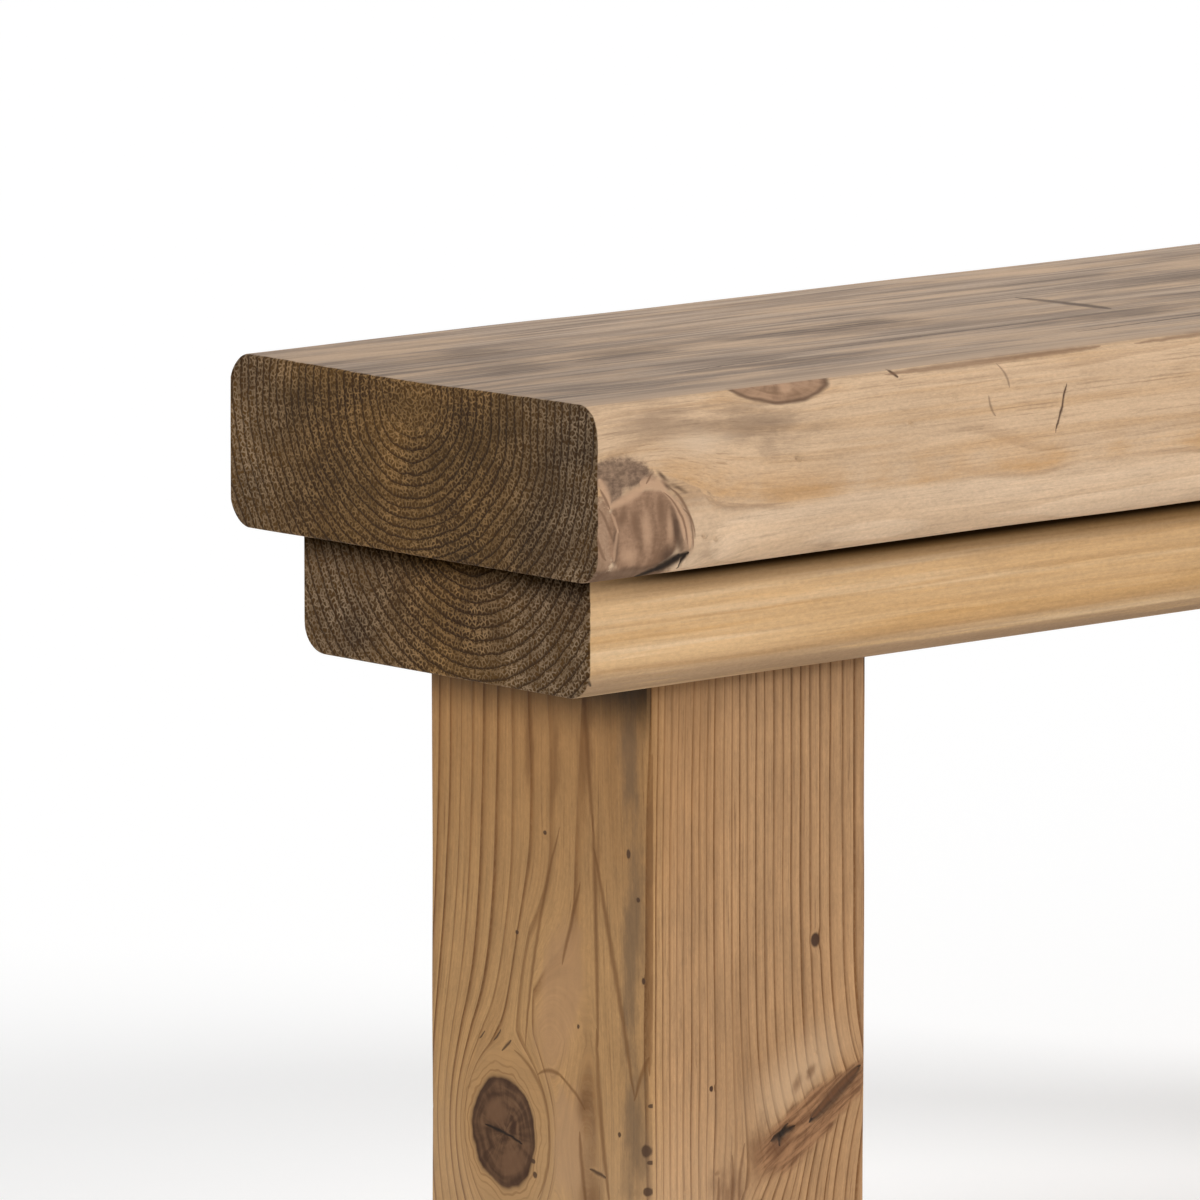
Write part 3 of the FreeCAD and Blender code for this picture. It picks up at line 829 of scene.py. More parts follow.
# %% Seat colours
EARLY_TAN = (0.560, 0.386, 0.242)
LATE_AMBER = (0.440, 0.240, 0.092)
SIDE_LINE = (0.230, 0.128, 0.062)
LOW_PALE = (0.630, 0.468, 0.325)
GREY_TOP = (0.395, 0.296, 0.220)
TAN_TOP = (0.450, 0.318, 0.215)
GREY_LINE = (0.125, 0.085, 0.060)
END_DARK = (0.030, 0.012, 0.002)
END_GOLD = (0.088, 0.042, 0.009)
END_NET_GOLD = (0.310, 0.175, 0.066)
END_NET_GREY = (0.300, 0.205, 0.122)
KNOT_BROWN = (0.180, 0.098, 0.055)
KNOT_TAN = (0.345, 0.205, 0.124)
KNOT_PALE = (0.500, 0.310, 0.190)
KNOT_DARK = (0.080, 0.042, 0.024)
FUZZ_DARK = (0.120, 0.072, 0.046)
FUZZ_TAN = (0.290, 0.185, 0.118)
STAIN = (0.230, 0.150, 0.095)
PITCH = (0.016, 0.009, 0.005)


def flow_round(off, rest, core):
    """How far the grain moves aside round a core of some millimetres: all the way inside it, less outside."""
    return off * (core * core) / calc("MAXIMUM", off * off + rest * rest, core * core)


def end_colour(net, line, ray, cloud, grey):
    """Dark sawn end grain: a net of pale lines on brown, which thins out at each ring's dark line."""
    base = blend(ramp(cloud, 0.25, 0.65) * (1 - line * 0.8), END_DARK, END_GOLD)
    pale = blend(grey, END_NET_GOLD, END_NET_GREY)
    return blend(net * (1 - line * 0.95) * (0.45 + ramp(ray, 0.3, 0.7) * 0.5), base, pale)


# %% [markdown]
# The saw cut through a branch at the seat's near lower corner. Its brown lobe has upright streaks, and a pale
# hood of wood folds over it. Left of the hood a dark fuzzy patch fills a notch, and below it the wood has
# split. Noise alone can't give such folds, so they are laid down one by one, as spots and lines.

# %% Corner knot
KNOT_SKIRT = [(46, 19, 6, 15, 16)]
KNOT_NOTCH = [(12, 44, 18, 8, -4), (23, 43, 10, 4.5, -22), (9, 37, 6.5, 8, 0)]
KNOT_BARK = [(3, 18, 9, 20, 0), (22, 1.5, 24, 7, 0)]
KNOT_BANDS = [(21, 23, 3.4, 10, 4), (35, 26, 4, 11, 3), (14, 26, 3.6, 7, -20), (34, 8, 9, 3.5, 25)]
KNOT_STREAK_AND_GROOVE_SHADE = [(43, 19, 4.2, 15, 12), (39, 9, 7, 6, 30), (10.5, 15, 2.4, 11, 0)]
KNOT_LIGHTS = [(27.5, 20, 4.2, 12, 4), (39.5, 20, 2.4, 10, 6), (18, 10.5, 8, 5, -8)]
KNOT_SHADOW = [(43.5, 6, 9, 4.5, 30)]
HOOD_FOLDS = [(1.5, 43, 7.5, 32, 6.5, 0), (6, 31, 29, 39.5, 6.6, -1.2), (23, 39.5, 38.5, 36, 9, 0.6),
              (34.5, 36, 47, 14, 4.6, 3.4), (43, 30, 50, 10, 3.6, 1.8), (48.8, 20, 49.6, 10.5, 2.8, 0.6)]
LOBE_FOLDS = [(8.6, 28.5, 12.2, 20.5, 2.4, 0), (12, 22, 10, 9, 3, -0.6)]
HOOD_LINES = [(2, 39, 8, 30, 2.2, 0), (39, 36, 51.4, 10, 2.4, 4.2), (36, 34.5, 48.5, 12, 1.8, 3.2),
              (1.5, 31, 8.8, 18, 2.6, 0.8), (1, 20, 5.5, 10, 2.6, -1.2), (35, 15, 30.5, 6.5, 2.2, 0.5),
              (29.5, 42.5, 26.5, 38.5, 1.8, 0), (46, 27, 52.5, 14, 1.6, 2)]
HOOD_DARTS = [(37.5, 36.8, 5.5, 1.7, -38), (44, 35.2, 7.5, 1.6, -26), (35, 41, 6, 1.5, -40)]


def corner_knot(side, face, wobble, rough, grit):
    """The corner knot on a coat. The face's coordinates start at the corner."""
    s, h = face
    streak = noise(join(s / 5 + h / 40 + wobble, h / 26, 5), 3)
    wood = blend(ramp(streak + (grit - 0.5) * 0.6, 0.18, 0.82), KNOT_BROWN, KNOT_TAN)
    tuft = noise(join(s / 3.4 + wobble, h / 2.4, 9), 4, 0.7)
    fuzz = blend(ramp(tuft, 0.30, 0.72), FUZZ_DARK, FUZZ_TAN)
    sway = wobble * 0.5
    side.spots(face, sway, wood, 0.75, KNOT_SKIRT, 0.5)
    side.spots(face, tuft * 0.6 - 0.35, fuzz, 0.95, KNOT_NOTCH, 0.45)
    side.spots(face, tuft - 0.5, wood, 0.85, KNOT_BARK, 0.3)
    middle_s, middle_h, wide, high = CORNER_LOBE
    u, v = (s - middle_s + wobble * 1.5) / wide, (h - middle_h + wobble) / high
    reach = (abs(u) ** LOBE_POWER + abs(v) ** LOBE_POWER) ** (1 / LOBE_POWER)
    side.wash(ramp(reach, 1.06, 0.94), wood)
    side.spots(face, sway, KNOT_BROWN, 0.95, KNOT_BANDS, 0.9)
    # partly painted shade: the dark right and lower rims of the lobe stand for shade in the groove round it,
    # the left one is a dark streak
    side.spots(face, sway, KNOT_DARK, 0.9, KNOT_STREAK_AND_GROOVE_SHADE, 0.9)
    side.spots(face, sway, KNOT_PALE, 0.6, KNOT_LIGHTS, 0.9)
    # painted shade along the lower side of the lobe
    side.wash(ramp(h + wobble * 3, 7, 4.5) * ramp(s, 44, 38) * 0.6, KNOT_DARK)
    side.lines(face, wobble, KNOT_PALE, 0.6, LOBE_FOLDS)
    side.lines(face, wobble, KNOT_PALE, 0.85, HOOD_FOLDS)
    side.lines(face, wobble, KNOT_BROWN, 0.8, HOOD_LINES)
    side.spots(face, rough * 1.2, KNOT_DARK, 0.85, HOOD_DARTS)
    # painted shadow at the lobe's lower right corner
    side.spots(face, sway, KNOT_DARK, 0.8, KNOT_SHADOW)
    side.lines(face, wobble, PITCH, 0.97, CORNER_SPLITS)


# %% [markdown]
# On the front, amber and pale bands dip along the beam, the upper half is stained, and there are two knots.
# The bands follow the height on the face, which noise moves, because straight stripes would look painted.

# %% Seat side
SEAT_SMEARS = [(-568, 441, 38, 12, -6), (-520, 436, 42, 12, -4)]
SEAT_BLOTS = [(-508, 428, 9, 11, 15), (-475, 382, 14, 5, 0), (-541, 385, 12, 6, 0)]
SEAT_PAINTED_HIGHLIGHT = [(-545, 431, 26, 7, -3)]
SEAT_KNOT_LIGHT = [(-494, 447.5, 6, 2.5, 20)]
SEAT_FINE_CHECKS = [(-379.5, 447, -375.5, 437, 2, 0.6), (-387, 435, -383, 426, 2, -0.8)]


def seat_side(x, y, z, move, rings, grain, shaking):
    """The seat's tan sides as a coat, and the coordinates on its front."""
    _, line, soft, tone = rings
    fine, broad, cloud, grit = grain
    wobble, rough, smear = shaking
    side = Coat(blend(soft * ramp(tone + cloud * 1.6 - 0.8, 0.1, 0.9) * 0.5, EARLY_TAN, LATE_AMBER))
    side.wash(ramp(broad, 0.45, 0.75) * 0.4, LATE_AMBER)
    side.wash(line * ramp(cloud, 0.30, 0.6) * 0.3, SIDE_LINE)
    side.wash(ramp(fine, 0.44, 0.30) * ramp(cloud, 0.30, 0.6) * 0.35, SIDE_LINE)
    dip = noise(join(x / 75, y / 300, 3))
    over = z - move * 0.8 - 402 + (dip - 0.5) * 14 + (fine - 0.5) * 3
    band = ramp(over, -0.8, 2.5) * ramp(over, 20, 3) * ramp(dip + rough * 0.4, 0.38, 0.60)
    side.wash(band * (0.3 + broad * 0.6), LATE_AMBER)
    side.wash(ramp(over, 4, -3) * 0.5, LOW_PALE)
    side.wash(ramp(abs(over), 1.5, 0.2) * ramp(cloud, 0.36, 0.60) * 0.4, SIDE_LINE)
    side.wash(ramp(cloud + rough * 0.6, 0.50, 0.74) * ramp(z, 412, 436) * 0.30, STAIN)
    side.shade(0.35 + cloud * 0.36 + fine * 0.46 + grit * 0.52 + rough * 0.30)
    front = on_face(x, z, y - SEAT_FRONT, 14)
    side.spots(front, rough + smear * 1.6, STAIN, 0.65, SEAT_SMEARS)
    side.spots(front, rough * 2.2, STAIN, 0.4, SEAT_BLOTS)
    # painted highlight: a pale patch on the front, above the corner knot and under the round top edge
    side.spots(front, rough, LOW_PALE, 0.6, SEAT_PAINTED_HIGHLIGHT)
    corner_knot(side, [at - start for at, start in zip(front, CORNER)], wobble, rough, grit)
    body, rim, _, shells, _ = use(KNOT, *spot_field(front, *SEAT_HALF_KNOT), 4)
    side.wash(body * 0.9, blend(ramp(shells, 0.35, 0.65), KNOT_BROWN, KNOT_TAN))
    side.wash(rim * 0.7, KNOT_DARK)
    side.spots(front, rough * 0.6, KNOT_PALE, 0.6, SEAT_KNOT_LIGHT, 0.8)
    side.lines(front, wobble, KNOT_DARK, 0.95, SEAT_CHECKS)
    side.lines(front, wobble, KNOT_DARK, 0.5, SEAT_FINE_CHECKS)
    return side, front


# %% [markdown]
# The top is worn to grey, with long hairlines and stains, and two knots far along it. Stretched noise alone
# is too soft for hairlines, so they are drawn where it crosses its middle value.

# %% Seat top
SEAT_TOP_STAINS = [(-546, 0, 50, 26, 0), (-368, 3, 52, 20, 0), (-337, 5, 34, 20, 0), (-483, 5, 50, 20, 0),
                   (-530, 43, 50, 22, 0), (-440, -62, 60, 14, 0), (-250, -40, 90, 16, 0),
                   (-120, 30, 120, 22, 0), (120, -10, 120, 26, 0), (330, 40, 110, 24, 0)]
SEAT_TOP_LINES = [(-505, -54, -440, -50, 3.4, 1), (-300, -72, -150, -66, 4, 2),
                  (-424, -40, -242, -36, 2.2, 1), (-238, 28, -236, -26, 11, 1), (-236, 2, -236, -28, 12, 1)]
SEAT_FAR_KNOTS = [(262, 36, 26, 13, 8), (-60, -48, 12, 7, 0)]


def seat_top(x, y, z, grit, shaking):
    """The seat's grey top as a coat."""
    wobble, rough, smear = shaking
    streak = noise(join(x / 260, y / 6, 2), 4, 0.65)
    patch = noise(join(x / 130, y / 22, 7), 3, 0.6)
    top = Coat(blend(ramp(patch + smear * 0.4, 0.42, 0.62), GREY_TOP, TAN_TOP))
    top.wash(ramp(streak, 0.50, 0.34) * ramp(patch, 0.75, 0.40) * 0.4, GREY_LINE)
    hair, = use(HAIRLINES, x, y, 3)
    thin, = use(HAIRLINES, x, y * 2.3, 8)
    top.wash(hair * ramp(patch, 0.75, 0.35) * 0.6, GREY_LINE)
    top.wash(thin * ramp(patch, 0.65, 0.35) * 0.4, GREY_LINE)
    wear = ramp(y, -20, 100) * 0.10 - ramp(x, -440, -595) * 0.20
    top.shade(0.57 + patch * 0.22 + streak * 0.36 + grit * 0.46 + wear)
    flat = on_face(x, y, z - SEAT_TOP, 6)
    top.spots(flat, rough + smear * 2, GREY_LINE, 0.62, SEAT_TOP_STAINS)
    top.lines(flat, wobble * 3, GREY_LINE, 0.85, SEAT_TOP_LINES)
    top.wash(ramp(y, -84, -102) * 0.6, TAN_TOP)
    for mark in SEAT_FAR_KNOTS:
        body, _, _, shells, _ = use(KNOT, *spot_field(flat, *mark), mark[0])
        top.wash(body * 0.7, blend(ramp(shells, 0.35, 0.65), GREY_LINE, KNOT_BROWN))
    return top


# %% [markdown]
# A sawn end is lighter below the heart and at the torn upper edge, and dusky beside them. Sides and top meet
# at the round upper edge, and the sawn ends cover both. A mask of the distance from the end says where they
# start.

# %% Seat finish
SEAT_HEART, SEAT_RING = 444, 4.6
SEAT_FLOWS = [(-573, -46, 0.6, 21), (-496, 9, 0.35, 9)]
SEAT_EDGE_STRIP = [(-440, 447.6, -318, 448.4, 3.6, 0), (-300, 448, -180, 448.6, 2.8, 0)]


def seat_end(y, z, log, rings, cloud, rough):
    """The colour of the seat's sawn ends, and their net of pale lines."""
    phase, line, _, _ = rings
    net, ray = use(END_NET, log, phase, SEAT_RING, 1, 5)
    sawn = end_colour(net, line * ramp(phase, 1, 5), ray, cloud, ramp(abs(y - 5), 42, 108))
    flare = ramp(abs(y - 11 + rough * 16), 14, 1) * ramp(z, 438, 424)
    dusk = ramp(abs(y - 11), 16, 48) * ramp(abs(y - 4), 110, 82) * ramp(z, 447, 434)
    torn = ramp(z, 439, 447) * ramp(abs(y - 18), 62, 24)
    light = 0.52 + noise(join(y / 40, z / 26, 1)) * 0.94 + flare * 0.22 + torn * 0.26 - dusk * 0.13
    return shade(sawn, light + ramp(y, 40, 95) * 0.20), net


def seat_finish():
    """Grey top, tan sides and dark sawn ends in one finish, with the seat's knots and stains."""
    material, shader, (x, y, z), normal = new_finish("seat_softwood")
    up, from_end = z - SEAT_HEART, SEAT_HALF - abs(x)
    move = sum(flow_round(up - core_up, (x - core_x) * slim, core)
               for core_x, core_up, slim, core in SEAT_FLOWS)
    log = join(x, y, up - move * ramp(y, -60, -95) * ramp(from_end, 1, 8))
    rings = use(RINGS, log, SEAT_RING, 1, 12, ramp(from_end, 8, 1) * 2, 0.4, 1.7)
    fine, _, cloud, grit = grain = use(FIBRES, join(x, y + z * 0.6, up - move * 0.9), 2.1)
    wobble, rough = ripple(x / 7, y / 7, z / 7), ripple(x / 22, y / 8, z / 8, 4, 0.65)
    shaking = wobble, rough, ripple(x / 42, y / 2.6, z / 2.6, 4, 0.65)
    side, front = seat_side(x, y, z, move, rings, grain, shaking)
    top = seat_top(x, y, z, grit, shaking)
    coat = Coat(blend(ramp(normal[2] + (cloud - 0.5) * 0.10, 0.90, 0.95), side.colour, top.colour))
    coat.lines(front, wobble, KNOT_BROWN, 0.65, SEAT_EDGE_STRIP)
    sawn, net = seat_end(y, z, log, rings, cloud, rough)
    at_end = ramp(from_end + wobble * 1.2, 1.2, 0.7)
    coat.wash(at_end, sawn)
    dull_wood(shader, coat.colour, 0.6 + fine * 0.2, fine * 0.5 + grit * 0.25 + at_end * net, 0.5 * MM)
    return material


seat.data.materials.append(seat_finish())
tell_finish(seat)

# %% [markdown]
# ## The under beam's finish
# The under beam is younger, cleaner wood from a quicker tree, with wide rings and long pale and amber bands.
# Its lower edge has gone grey. Shade under the seat is painted into the joint: a dark band along its sides,
# strongest near the left end, and a darkening of its sawn ends towards the seat. It has no mark deep enough to
# change its shape, so the solid stays and only the finish is new.

# %% Under beam finish
UNDER_EARLY = (0.610, 0.400, 0.210)
UNDER_LATE = (0.470, 0.255, 0.085)
UNDER_LINE = (0.300, 0.150, 0.050)
UNDER_PALE = (0.690, 0.500, 0.310)
UNDER_GREY = (0.290, 0.190, 0.115)
# colours of the painted shade in the joint under the seat
JOINT_SHADE_BROWN = (0.085, 0.038, 0.008)
JOINT_SHADE_BLACK = (0.006, 0.002, 0.0)
UNDER_HALF, UNDER_FRONT = in_mm(under_high.x), in_mm(under_low.y)
UNDER_HEART, UNDER_RING = (-16, 402), 5.35
UNDER_NICK = [(-583, 337, -579, 333, 2.4, 0)]


def under_finish():
    """Clean tan wood with soft amber lines, dark sawn ends and painted shade in the joint under the seat."""
    material, shader, (x, y, z), _ = new_finish("under_softwood")
    from_end = UNDER_HALF - abs(x)
    log = join(x, y - UNDER_HEART[0], z - UNDER_HEART[1])
    phase, line, soft, tone = use(RINGS, log, UNDER_RING, 1, 3.5, ramp(from_end, 8, 1) * 2, 0.5, 6.3)
    fine, broad, cloud, grit = use(FIBRES, log, 7.7)
    net, ray = use(END_NET, log, phase, UNDER_RING, 1, 9)
    wobble = ripple(x / 7, y / 7, z / 7)
    clear = ramp(z, 368, 356)
    coat = Coat(blend(soft * tone * clear * 0.5, UNDER_EARLY, UNDER_LATE))
    coat.wash(line * ramp(cloud, 0.35, 0.65) * clear * (0.1 + tone * 0.45), UNDER_LINE)
    coat.wash(ramp(broad, 0.5, 0.8) * 0.3 + ramp(x, -560, -400) * 0.22, UNDER_LATE)
    band = noise(join(x / 380, y / 9, z / 8), 3, 0.55)
    coat.wash(ramp(band, 0.50, 0.66) * 0.5, UNDER_LATE)
    coat.wash(ramp(band, 0.47, 0.36) * 0.5, UNDER_PALE)
    coat.wash(ramp(z, 343, 332) * ramp(band + fine * 0.6, 0.58, 0.88) * 0.8, UNDER_GREY)
    coat.shade(0.42 + cloud * 0.28 + fine * 0.42 + grit * 0.48 - ramp(x, -430, -290) * 0.07)
    coat.lines(on_face(x, z, y - UNDER_FRONT), wobble, PITCH, 0.8, UNDER_NICK)
    # painted shade under the seat's overhang: a soft brown band and a black line at the joint, strongest near
    # the left end
    painted_joint_shade = 0.35 + ramp(x, -585, -525) * 0.65
    coat.wash(ramp(z, 362, 372) * painted_joint_shade * 0.66, JOINT_SHADE_BROWN)
    coat.wash(ramp(z, 370, 374.5) * painted_joint_shade * 0.97, JOINT_SHADE_BLACK)
    at_end = ramp(from_end + wobble * 1.2, 1.2, 0.7)
    sawn = end_colour(net, line, ray, cloud, ramp(abs(y), 0, 60))
    # painted shade: the sawn ends darken towards the seat above them
    coat.wash(at_end, shade(sawn, 1.15 - ramp(z, 362, 376)))
    dull_wood(shader, coat.colour, 0.6 + fine * 0.2, fine * 0.5 + grit * 0.25 + at_end * net, 0.5 * MM)
    # no shine where the shade under the seat is painted, so that it stays dark
    feed(shader.inputs["Specular IOR Level"], ramp(z, 374, 365) * DULL_SHINE)
    return material


under_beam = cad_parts["under_beam"]
under_beam.data.materials[0] = under_finish()
tell_finish(under_beam)

# %% [markdown]
# ## The legs' finish
# The legs are sawn from the outer part of a log, so the rings run nearly straight down each face and get
# closer towards the bark. Just under the beam a shade is painted on them, most on the faces that look along
# the bench.
# Stripes could stand for the lines, but a log whose heart lies outside the leg makes them bend and close up
# by itself.

# %% Leg wood
SAP_EARLY = (0.466, 0.266, 0.112)
HEART_EARLY = (0.450, 0.256, 0.122)
LEG_LATE = (0.165, 0.070, 0.022)
OVAL_DARK = (0.052, 0.023, 0.012)
OVAL_MID = (0.175, 0.090, 0.046)
SPIKE_DARK = (0.135, 0.058, 0.024)
SPIKE_PALE = (0.330, 0.168, 0.078)
LEG_STAIN = (0.158, 0.099, 0.056)
LEG_WARM = (0.360, 0.165, 0.048)
LEG_PALE = (0.620, 0.430, 0.265)
LEG_RING, LEG_RING_POWER, LEG_SWAY = 14.83, 1.442, 4
leg_low, leg_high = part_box("right_leg")
LEG_END, LEG_FRONT = in_mm(leg_high.x), in_mm(leg_low.y)


def leg_wood(up, across, deep, seed):
    """The plain wood of a leg: ring lines on light sapwood outside and darker heartwood inside."""
    log = join(up, across, deep)
    _, line, soft, tone = use(RINGS, log, LEG_RING, LEG_RING_POWER, LEG_SWAY, 0, 0.8, seed)
    fine, broad, cloud, grit = use(FIBRES, log, seed + 1.5)
    radius = root(across * across + deep * deep)
    coat = Coat(blend(ramp(radius, 138, 158), HEART_EARLY, SAP_EARLY))
    coat.wash(soft * (0.05 + tone * 0.3), LEG_LATE)
    broken = ramp(cloud + broad * 0.5, 0.36, 0.76) * (0.75 + ramp(grit, 0.35, 0.62) * 0.5)
    coat.wash(line ** 1.4 * (0.50 + tone * 0.50) * broken, LEG_LATE)
    coat.wash(ramp(broad, 0.52, 0.8) * 0.25, LEG_LATE)
    coat.wash(ramp(fine, 0.38, 0.26) * 0.5, LEG_LATE)
    coat.shade(0.40 + cloud * 0.36 + fine * 0.36 + grit * 0.48)
    return coat, line, fine, grit


def oval_knot(coat, face, mark, seed):
    """A sound dark knot with a pale halo."""
    body, rim, halo, shells, arcs = use(KNOT, *spot_field(face, *mark), seed)
    coat.wash(halo * 0.5, SAP_EARLY)
    coat.wash(arcs * 0.4, LEG_LATE)
    coat.wash(body * 0.97, blend(ramp(shells, 0.36, 0.70), OVAL_DARK, OVAL_MID))
    coat.wash(rim * 0.4, OVAL_DARK)


def finish_leg(shader, coat, z, normal, line, fine, grit):
    """A painted shade just under the beam, and the leg's fine relief."""
    # painted shade: the leg darkens towards the beam above it, most on its end faces
    coat.shade(1 - ramp(z, 297, 325) * (0.20 + ramp(abs(normal[0]), 0.3, 0.7) * 0.71))
    dull_wood(shader, coat.colour, 0.55 + fine * 0.2, fine * 0.4 + line * 0.3 + grit * 0.25, 0.4 * MM)


# %% [markdown]
# The left leg has an oval knot on its end face. Beside it are a few wide rings, which are single lines,
# stains along the edge and small pins. Chance would not put them in these places, so they are listed.

# %% Left leg's end face
LEG_END_STAINS = [(-57, 298, 9, 38, 0), (-59, 222, 9, 66, 5), (-60, 140, 10, 40, 0)]
LEG_END_PLAINS = [(-15, 192, 17, 42, 12), (-20, 132, 13, 30, 0)]
LEG_END_SHADES = [(-38, 250, 4, 20, 0), (-12, 288, 5, 30, 3), (-30, 292, 7, 40, 4), (4, 292, 4, 34, 0),
                  (-30, 150, 6, 12, 30), (-36, 110, 9, 16, 0)]
LEG_END_LINES = [(-28.5, 330, -35, 262, 4.5, 0), (-34.8, 270, -38, 174, 4.5, -0.4),
                 (-37, 182, -46, 108, 4.5, 1.5), (-35.5, 256, -60, 157, 5, -0.6),
                 (-67, 300, -66.5, 166, 3, 0), (-66.5, 174, -60, 155, 3, 0),
                 (13.6, 166, -7.9, 130, 3.6, -7.4), (-7.6, 138, -1, 106, 2.8, -3),
                 (-1, 157.5, -18, 158, 3, -2.7), (-15, 159, -30.5, 147, 2.6, -1.2),
                 (-27, 138, -31.5, 106, 4, 0.6), (-27.3, 241, -16, 205, 3.4, 0), (-15, 262, 6.5, 168, 3, 3)]
LEG_OVAL_LIGHTS = [(25, 138.5, 9.5, 7.5, 0), (15, 118.5, 12, 8, -25)]
LEG_OVAL_SHADES = [(14.3, 133.5, 2.4, 4.5, 10)]


def left_leg_end(coat, end, wobble, rough):
    """The marks on the left leg's end face."""
    coat.spots(end, rough * 1.2, LEG_STAIN, 0.65, LEG_END_STAINS, 0.8)
    coat.spots(end, rough * 1.2, LEG_LATE, 0.5, LEG_END_SHADES)
    coat.lines(end, wobble, LEG_LATE, 0.65, LEG_END_LINES)
    oval_knot(coat, end, LEG_OVAL, 8)
    coat.spots(end, rough * 0.6, OVAL_MID, 0.85, LEG_OVAL_LIGHTS, 0.6)
    coat.spots(end, rough, OVAL_DARK, 0.9, LEG_OVAL_SHADES, 0.7)
    coat.lines(end, wobble, PITCH, 0.95, LEG_OVAL_CRACKS)
    coat.lines(end, wobble, KNOT_DARK, 0.9, LEG_END_DASHES)
    coat.spots(end, rough * 0.3, KNOT_DARK, 0.9, LEG_END_PINS, 0.4)


# %% [markdown]
# A long slanting knot crosses the leg's front, with an open slot, a hole and dark stains at its foot, and a
# painted sheen of pale colour above it. Its streaks run along it and not along the leg, so it has coordinates
# of its own, turned to its slant.

# %% Left leg's front
LEG_FRONT_STAINS = [(-472, 127, 9, 20, -10), (-489, 113, 12, 16, 20), (-450, 152.6, 4, 6, -30),
                    (-442, 157, 6, 3, 50), (-459, 131, 13, 9, 30)]
LEG_FRONT_LINES = [(-486, 128, -487, 98, 3.4, 1), (-493, 120, -494, 92, 3, 0), (-479, 132, -482, 104, 3, -1)]
LEG_SLOT_RIM = [(-441, 137, -415, 155, 6, 0.6)]
LEG_HOLE_SHADE = [(-461, 127, 9, 6, 30)]
LEG_EDGE_SHADE = [(-413, 235, 4, 130, 0)]
SPIKE_MIDDLE, SPIKE_TURN, SPIKE_HALF, SPIKE_THICK = (-438, 136), 30, 38, 11


def left_leg_front(coat, front, y, run, off, at_front, wobble, rough):
    """The marks on the left leg's front. run and off are distances along the slanting knot and across it."""
    # painted sheen: a pale patch above the slanting knot, on the front only
    painted_sheen = ramp(off, 9, 20) * ramp(off, 44, 22) * ramp(abs(run), 42, 8) * at_front
    coat.wash(painted_sheen * 0.42, LEG_PALE)
    coat.spots(front, rough * 1.6, SPIKE_DARK, 0.65, LEG_FRONT_STAINS)
    coat.lines(front, wobble, SPIKE_DARK, 0.6, LEG_FRONT_LINES)
    streak = noise(join(run / 14, off / 1.8, 4), 3, 0.6)
    wander, thick = off - 2.5 + rough * 9, SPIKE_THICK - run * 0.10
    inside = wander * wander / (thick * thick) + run * run / (SPIKE_HALF * SPIKE_HALF)
    spike = ramp(inside, 1.25, 0.6) * ramp(y, -54, -60)
    coat.wash(spike * 0.94, blend(ramp(streak, 0.32, 0.68), SPIKE_DARK, SPIKE_PALE))
    coat.lines(front, wobble, PITCH, 0.95, LEG_SLOTS)
    coat.lines(front, wobble * 2, SPIKE_DARK, 0.9, LEG_SLOT_RIM)
    coat.spots(front, rough, SPIKE_DARK, 0.8, LEG_HOLE_SHADE)
    coat.lines(front, wobble * 2, PITCH, 0.9, LEG_HOLES)
    coat.spots(front, rough, SPIKE_DARK, 0.35, LEG_EDGE_SHADE)
    coat.spots(front, rough * 0.3, OVAL_DARK, 0.97, LEG_FRONT_PINS, 0.4)


# %% [markdown]
# The rings' lines bow round the oval knot and step aside along the slanting one. A knot drawn on straight
# lines would look stuck on, so the place is moved before the rings are worked out.

# %% Left leg finish
LEFT_HEART = (-378.5, -50)


def left_leg_finish():
    """The left leg's wood and its two knots, with the stains, pins and slots round them."""
    material, shader, (x, y, z), normal = new_finish("left_leg_softwood")
    end, front = on_face(y, z, x + LEG_END, 4), on_face(x, z, y - LEG_FRONT, 4)
    wobble = ripple(x / 7, y / 7, z / 7)
    rough = ripple(x / 7, y / 7, z / 18, 4, 0.65)
    run, off = spot_field((x, z), *SPIKE_MIDDLE, 1, 1, SPIKE_TURN)
    at_front, at_end = ramp(y, -20, -55), ramp(x, -470, -515)
    fade = calc("EXPONENT", abs(off) / -22) * ramp(abs(run), 60, 20)
    across = x - fade * at_front * 15 - LEFT_HEART[0]
    aside = y - flow_round(y - 18, (z - 131) * 0.72, 25) * at_end
    drop = calc("MAXIMUM", 258 - z, 0) / 84
    pull = calc("MINIMUM", drop * drop, 1) * ramp(z, 20, 110) * ramp(y, -38, -4) * at_end
    deep = aside - pull * calc("EXPONENT", calc("MINIMUM", (18 - aside) / 12, 1)) * 17 - LEFT_HEART[1]
    coat, line, fine, grit = leg_wood(z, across, deep, 2.9)

    coat.spots(end, rough * 0.8, HEART_EARLY, 0.85, LEG_END_PLAINS, 0.5)
    coat.wash(ramp(z + rough * 60, 190, 300) * at_end * 0.3, LEG_WARM)
    tone = fine * 0.30 + rough * 0.40 - at_front * 0.10 + ramp(z, 250, 170) * at_end * 0.05
    coat.shade(tone + 0.85)
    low = ramp(z + rough * 50, 175, 105) * calc("MAXIMUM", at_front * ramp(x, -455, -500), at_end)
    coat.wash(low * 0.20, LEG_PALE)
    left_leg_end(coat, end, wobble, rough)
    left_leg_front(coat, front, y, run, off, at_front, wobble, rough)
    finish_leg(shader, coat, z, normal, line, fine, grit)
    return material


left_leg.data.materials.append(left_leg_finish())
tell_finish(left_leg)

# %% [markdown]
# The right leg isn't in the picture. It is taken to be from a similar log, with its heart on the other side
# and two smaller knots. The same helpers make it, so that the legs read as a pair.

# %% Right leg finish
RIGHT_HEART = (610, 30)
RIGHT_END_KNOT = (-12, 210, 13, 19, 10)
RIGHT_FRONT_KNOT = (462, 96, 9, 14, -8)


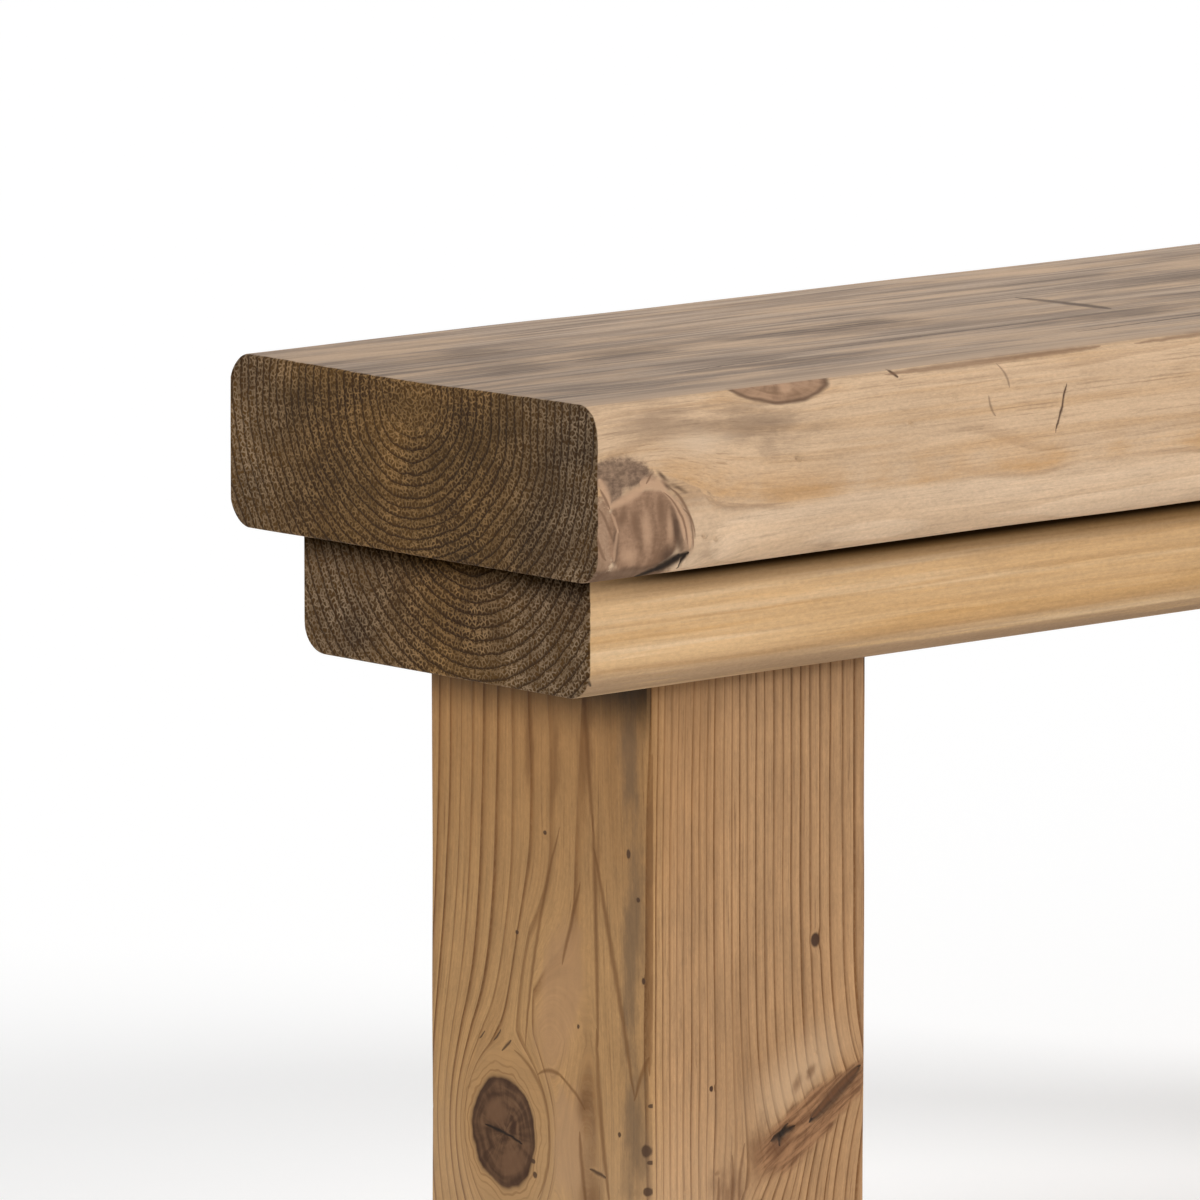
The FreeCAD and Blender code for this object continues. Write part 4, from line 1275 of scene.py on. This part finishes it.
def right_leg_finish():
    """The right leg's wood and its two knots."""
    material, shader, (x, y, z), normal = new_finish("right_leg_softwood")
    deep = y - flow_round(y + 12, (z - 210) * 0.5, 15) * ramp(x, 470, 515) - RIGHT_HEART[1]
    across = x - flow_round(x - 462, (z - 96) * 0.5, 11) * ramp(y, -20, -55) - RIGHT_HEART[0]
    coat, line, fine, grit = leg_wood(z, across, deep, 12.3)
    oval_knot(coat, on_face(y, z, x - LEG_END), RIGHT_END_KNOT, 5)
    oval_knot(coat, on_face(x, z, y - LEG_FRONT), RIGHT_FRONT_KNOT, 6)
    finish_leg(shader, coat, z, normal, line, fine, grit)
    return material


right_leg.data.materials.append(right_leg_finish())
tell_finish(right_leg)

# %% [markdown]
# ## The hidden parts
# The wedges in the tenons are of a harder, redder wood. The screws and their washers are dull zinc-plated
# steel, sunk in holes on the under beam's underside. They are seen only from below or in parts, so plain
# finishes on the solids are enough.

# %% Wedges, screws and washers
WEDGE_DARK, WEDGE_PALE = (0.30, 0.145, 0.068), (0.42, 0.22, 0.11)
ZINC_DARK, ZINC_PALE = (0.45, 0.45, 0.44), (0.60, 0.60, 0.58)


def wedge_finish():
    """Fine-grained reddish hardwood with streaks along the wedge's height."""
    material, shader, (x, y, z), _ = new_finish("wedge_hardwood")
    fine = noise(join(x / 0.8, y / 0.8, z / 25), 3, 0.6)
    dull_wood(shader, blend(ramp(fine, 0.3, 0.7), WEDGE_DARK, WEDGE_PALE), 0.5 + fine * 0.2, fine, 0.2 * MM)
    return material


def steel_finish():
    """Dull zinc-plated steel with slight spots."""
    material, shader, (x, y, z), _ = new_finish("zinc_steel")
    spots = noise(join(x / 3, y / 3, z / 3), 4, 0.6)
    feed(shader.inputs["Base Color"], blend(ramp(spots, 0.35, 0.7), ZINC_DARK, ZINC_PALE))
    feed(shader.inputs["Roughness"], 0.30 + spots * 0.2)
    shader.inputs["Metallic"].default_value = 1
    return material


wedge_wood, screw_steel = wedge_finish(), steel_finish()
for node_name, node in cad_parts.items():
    if "wedge" in node_name:
        node.data.materials[0] = wedge_wood
    elif "screw" in node_name:
        node.data.materials[0] = screw_steel
print("hidden parts finished")
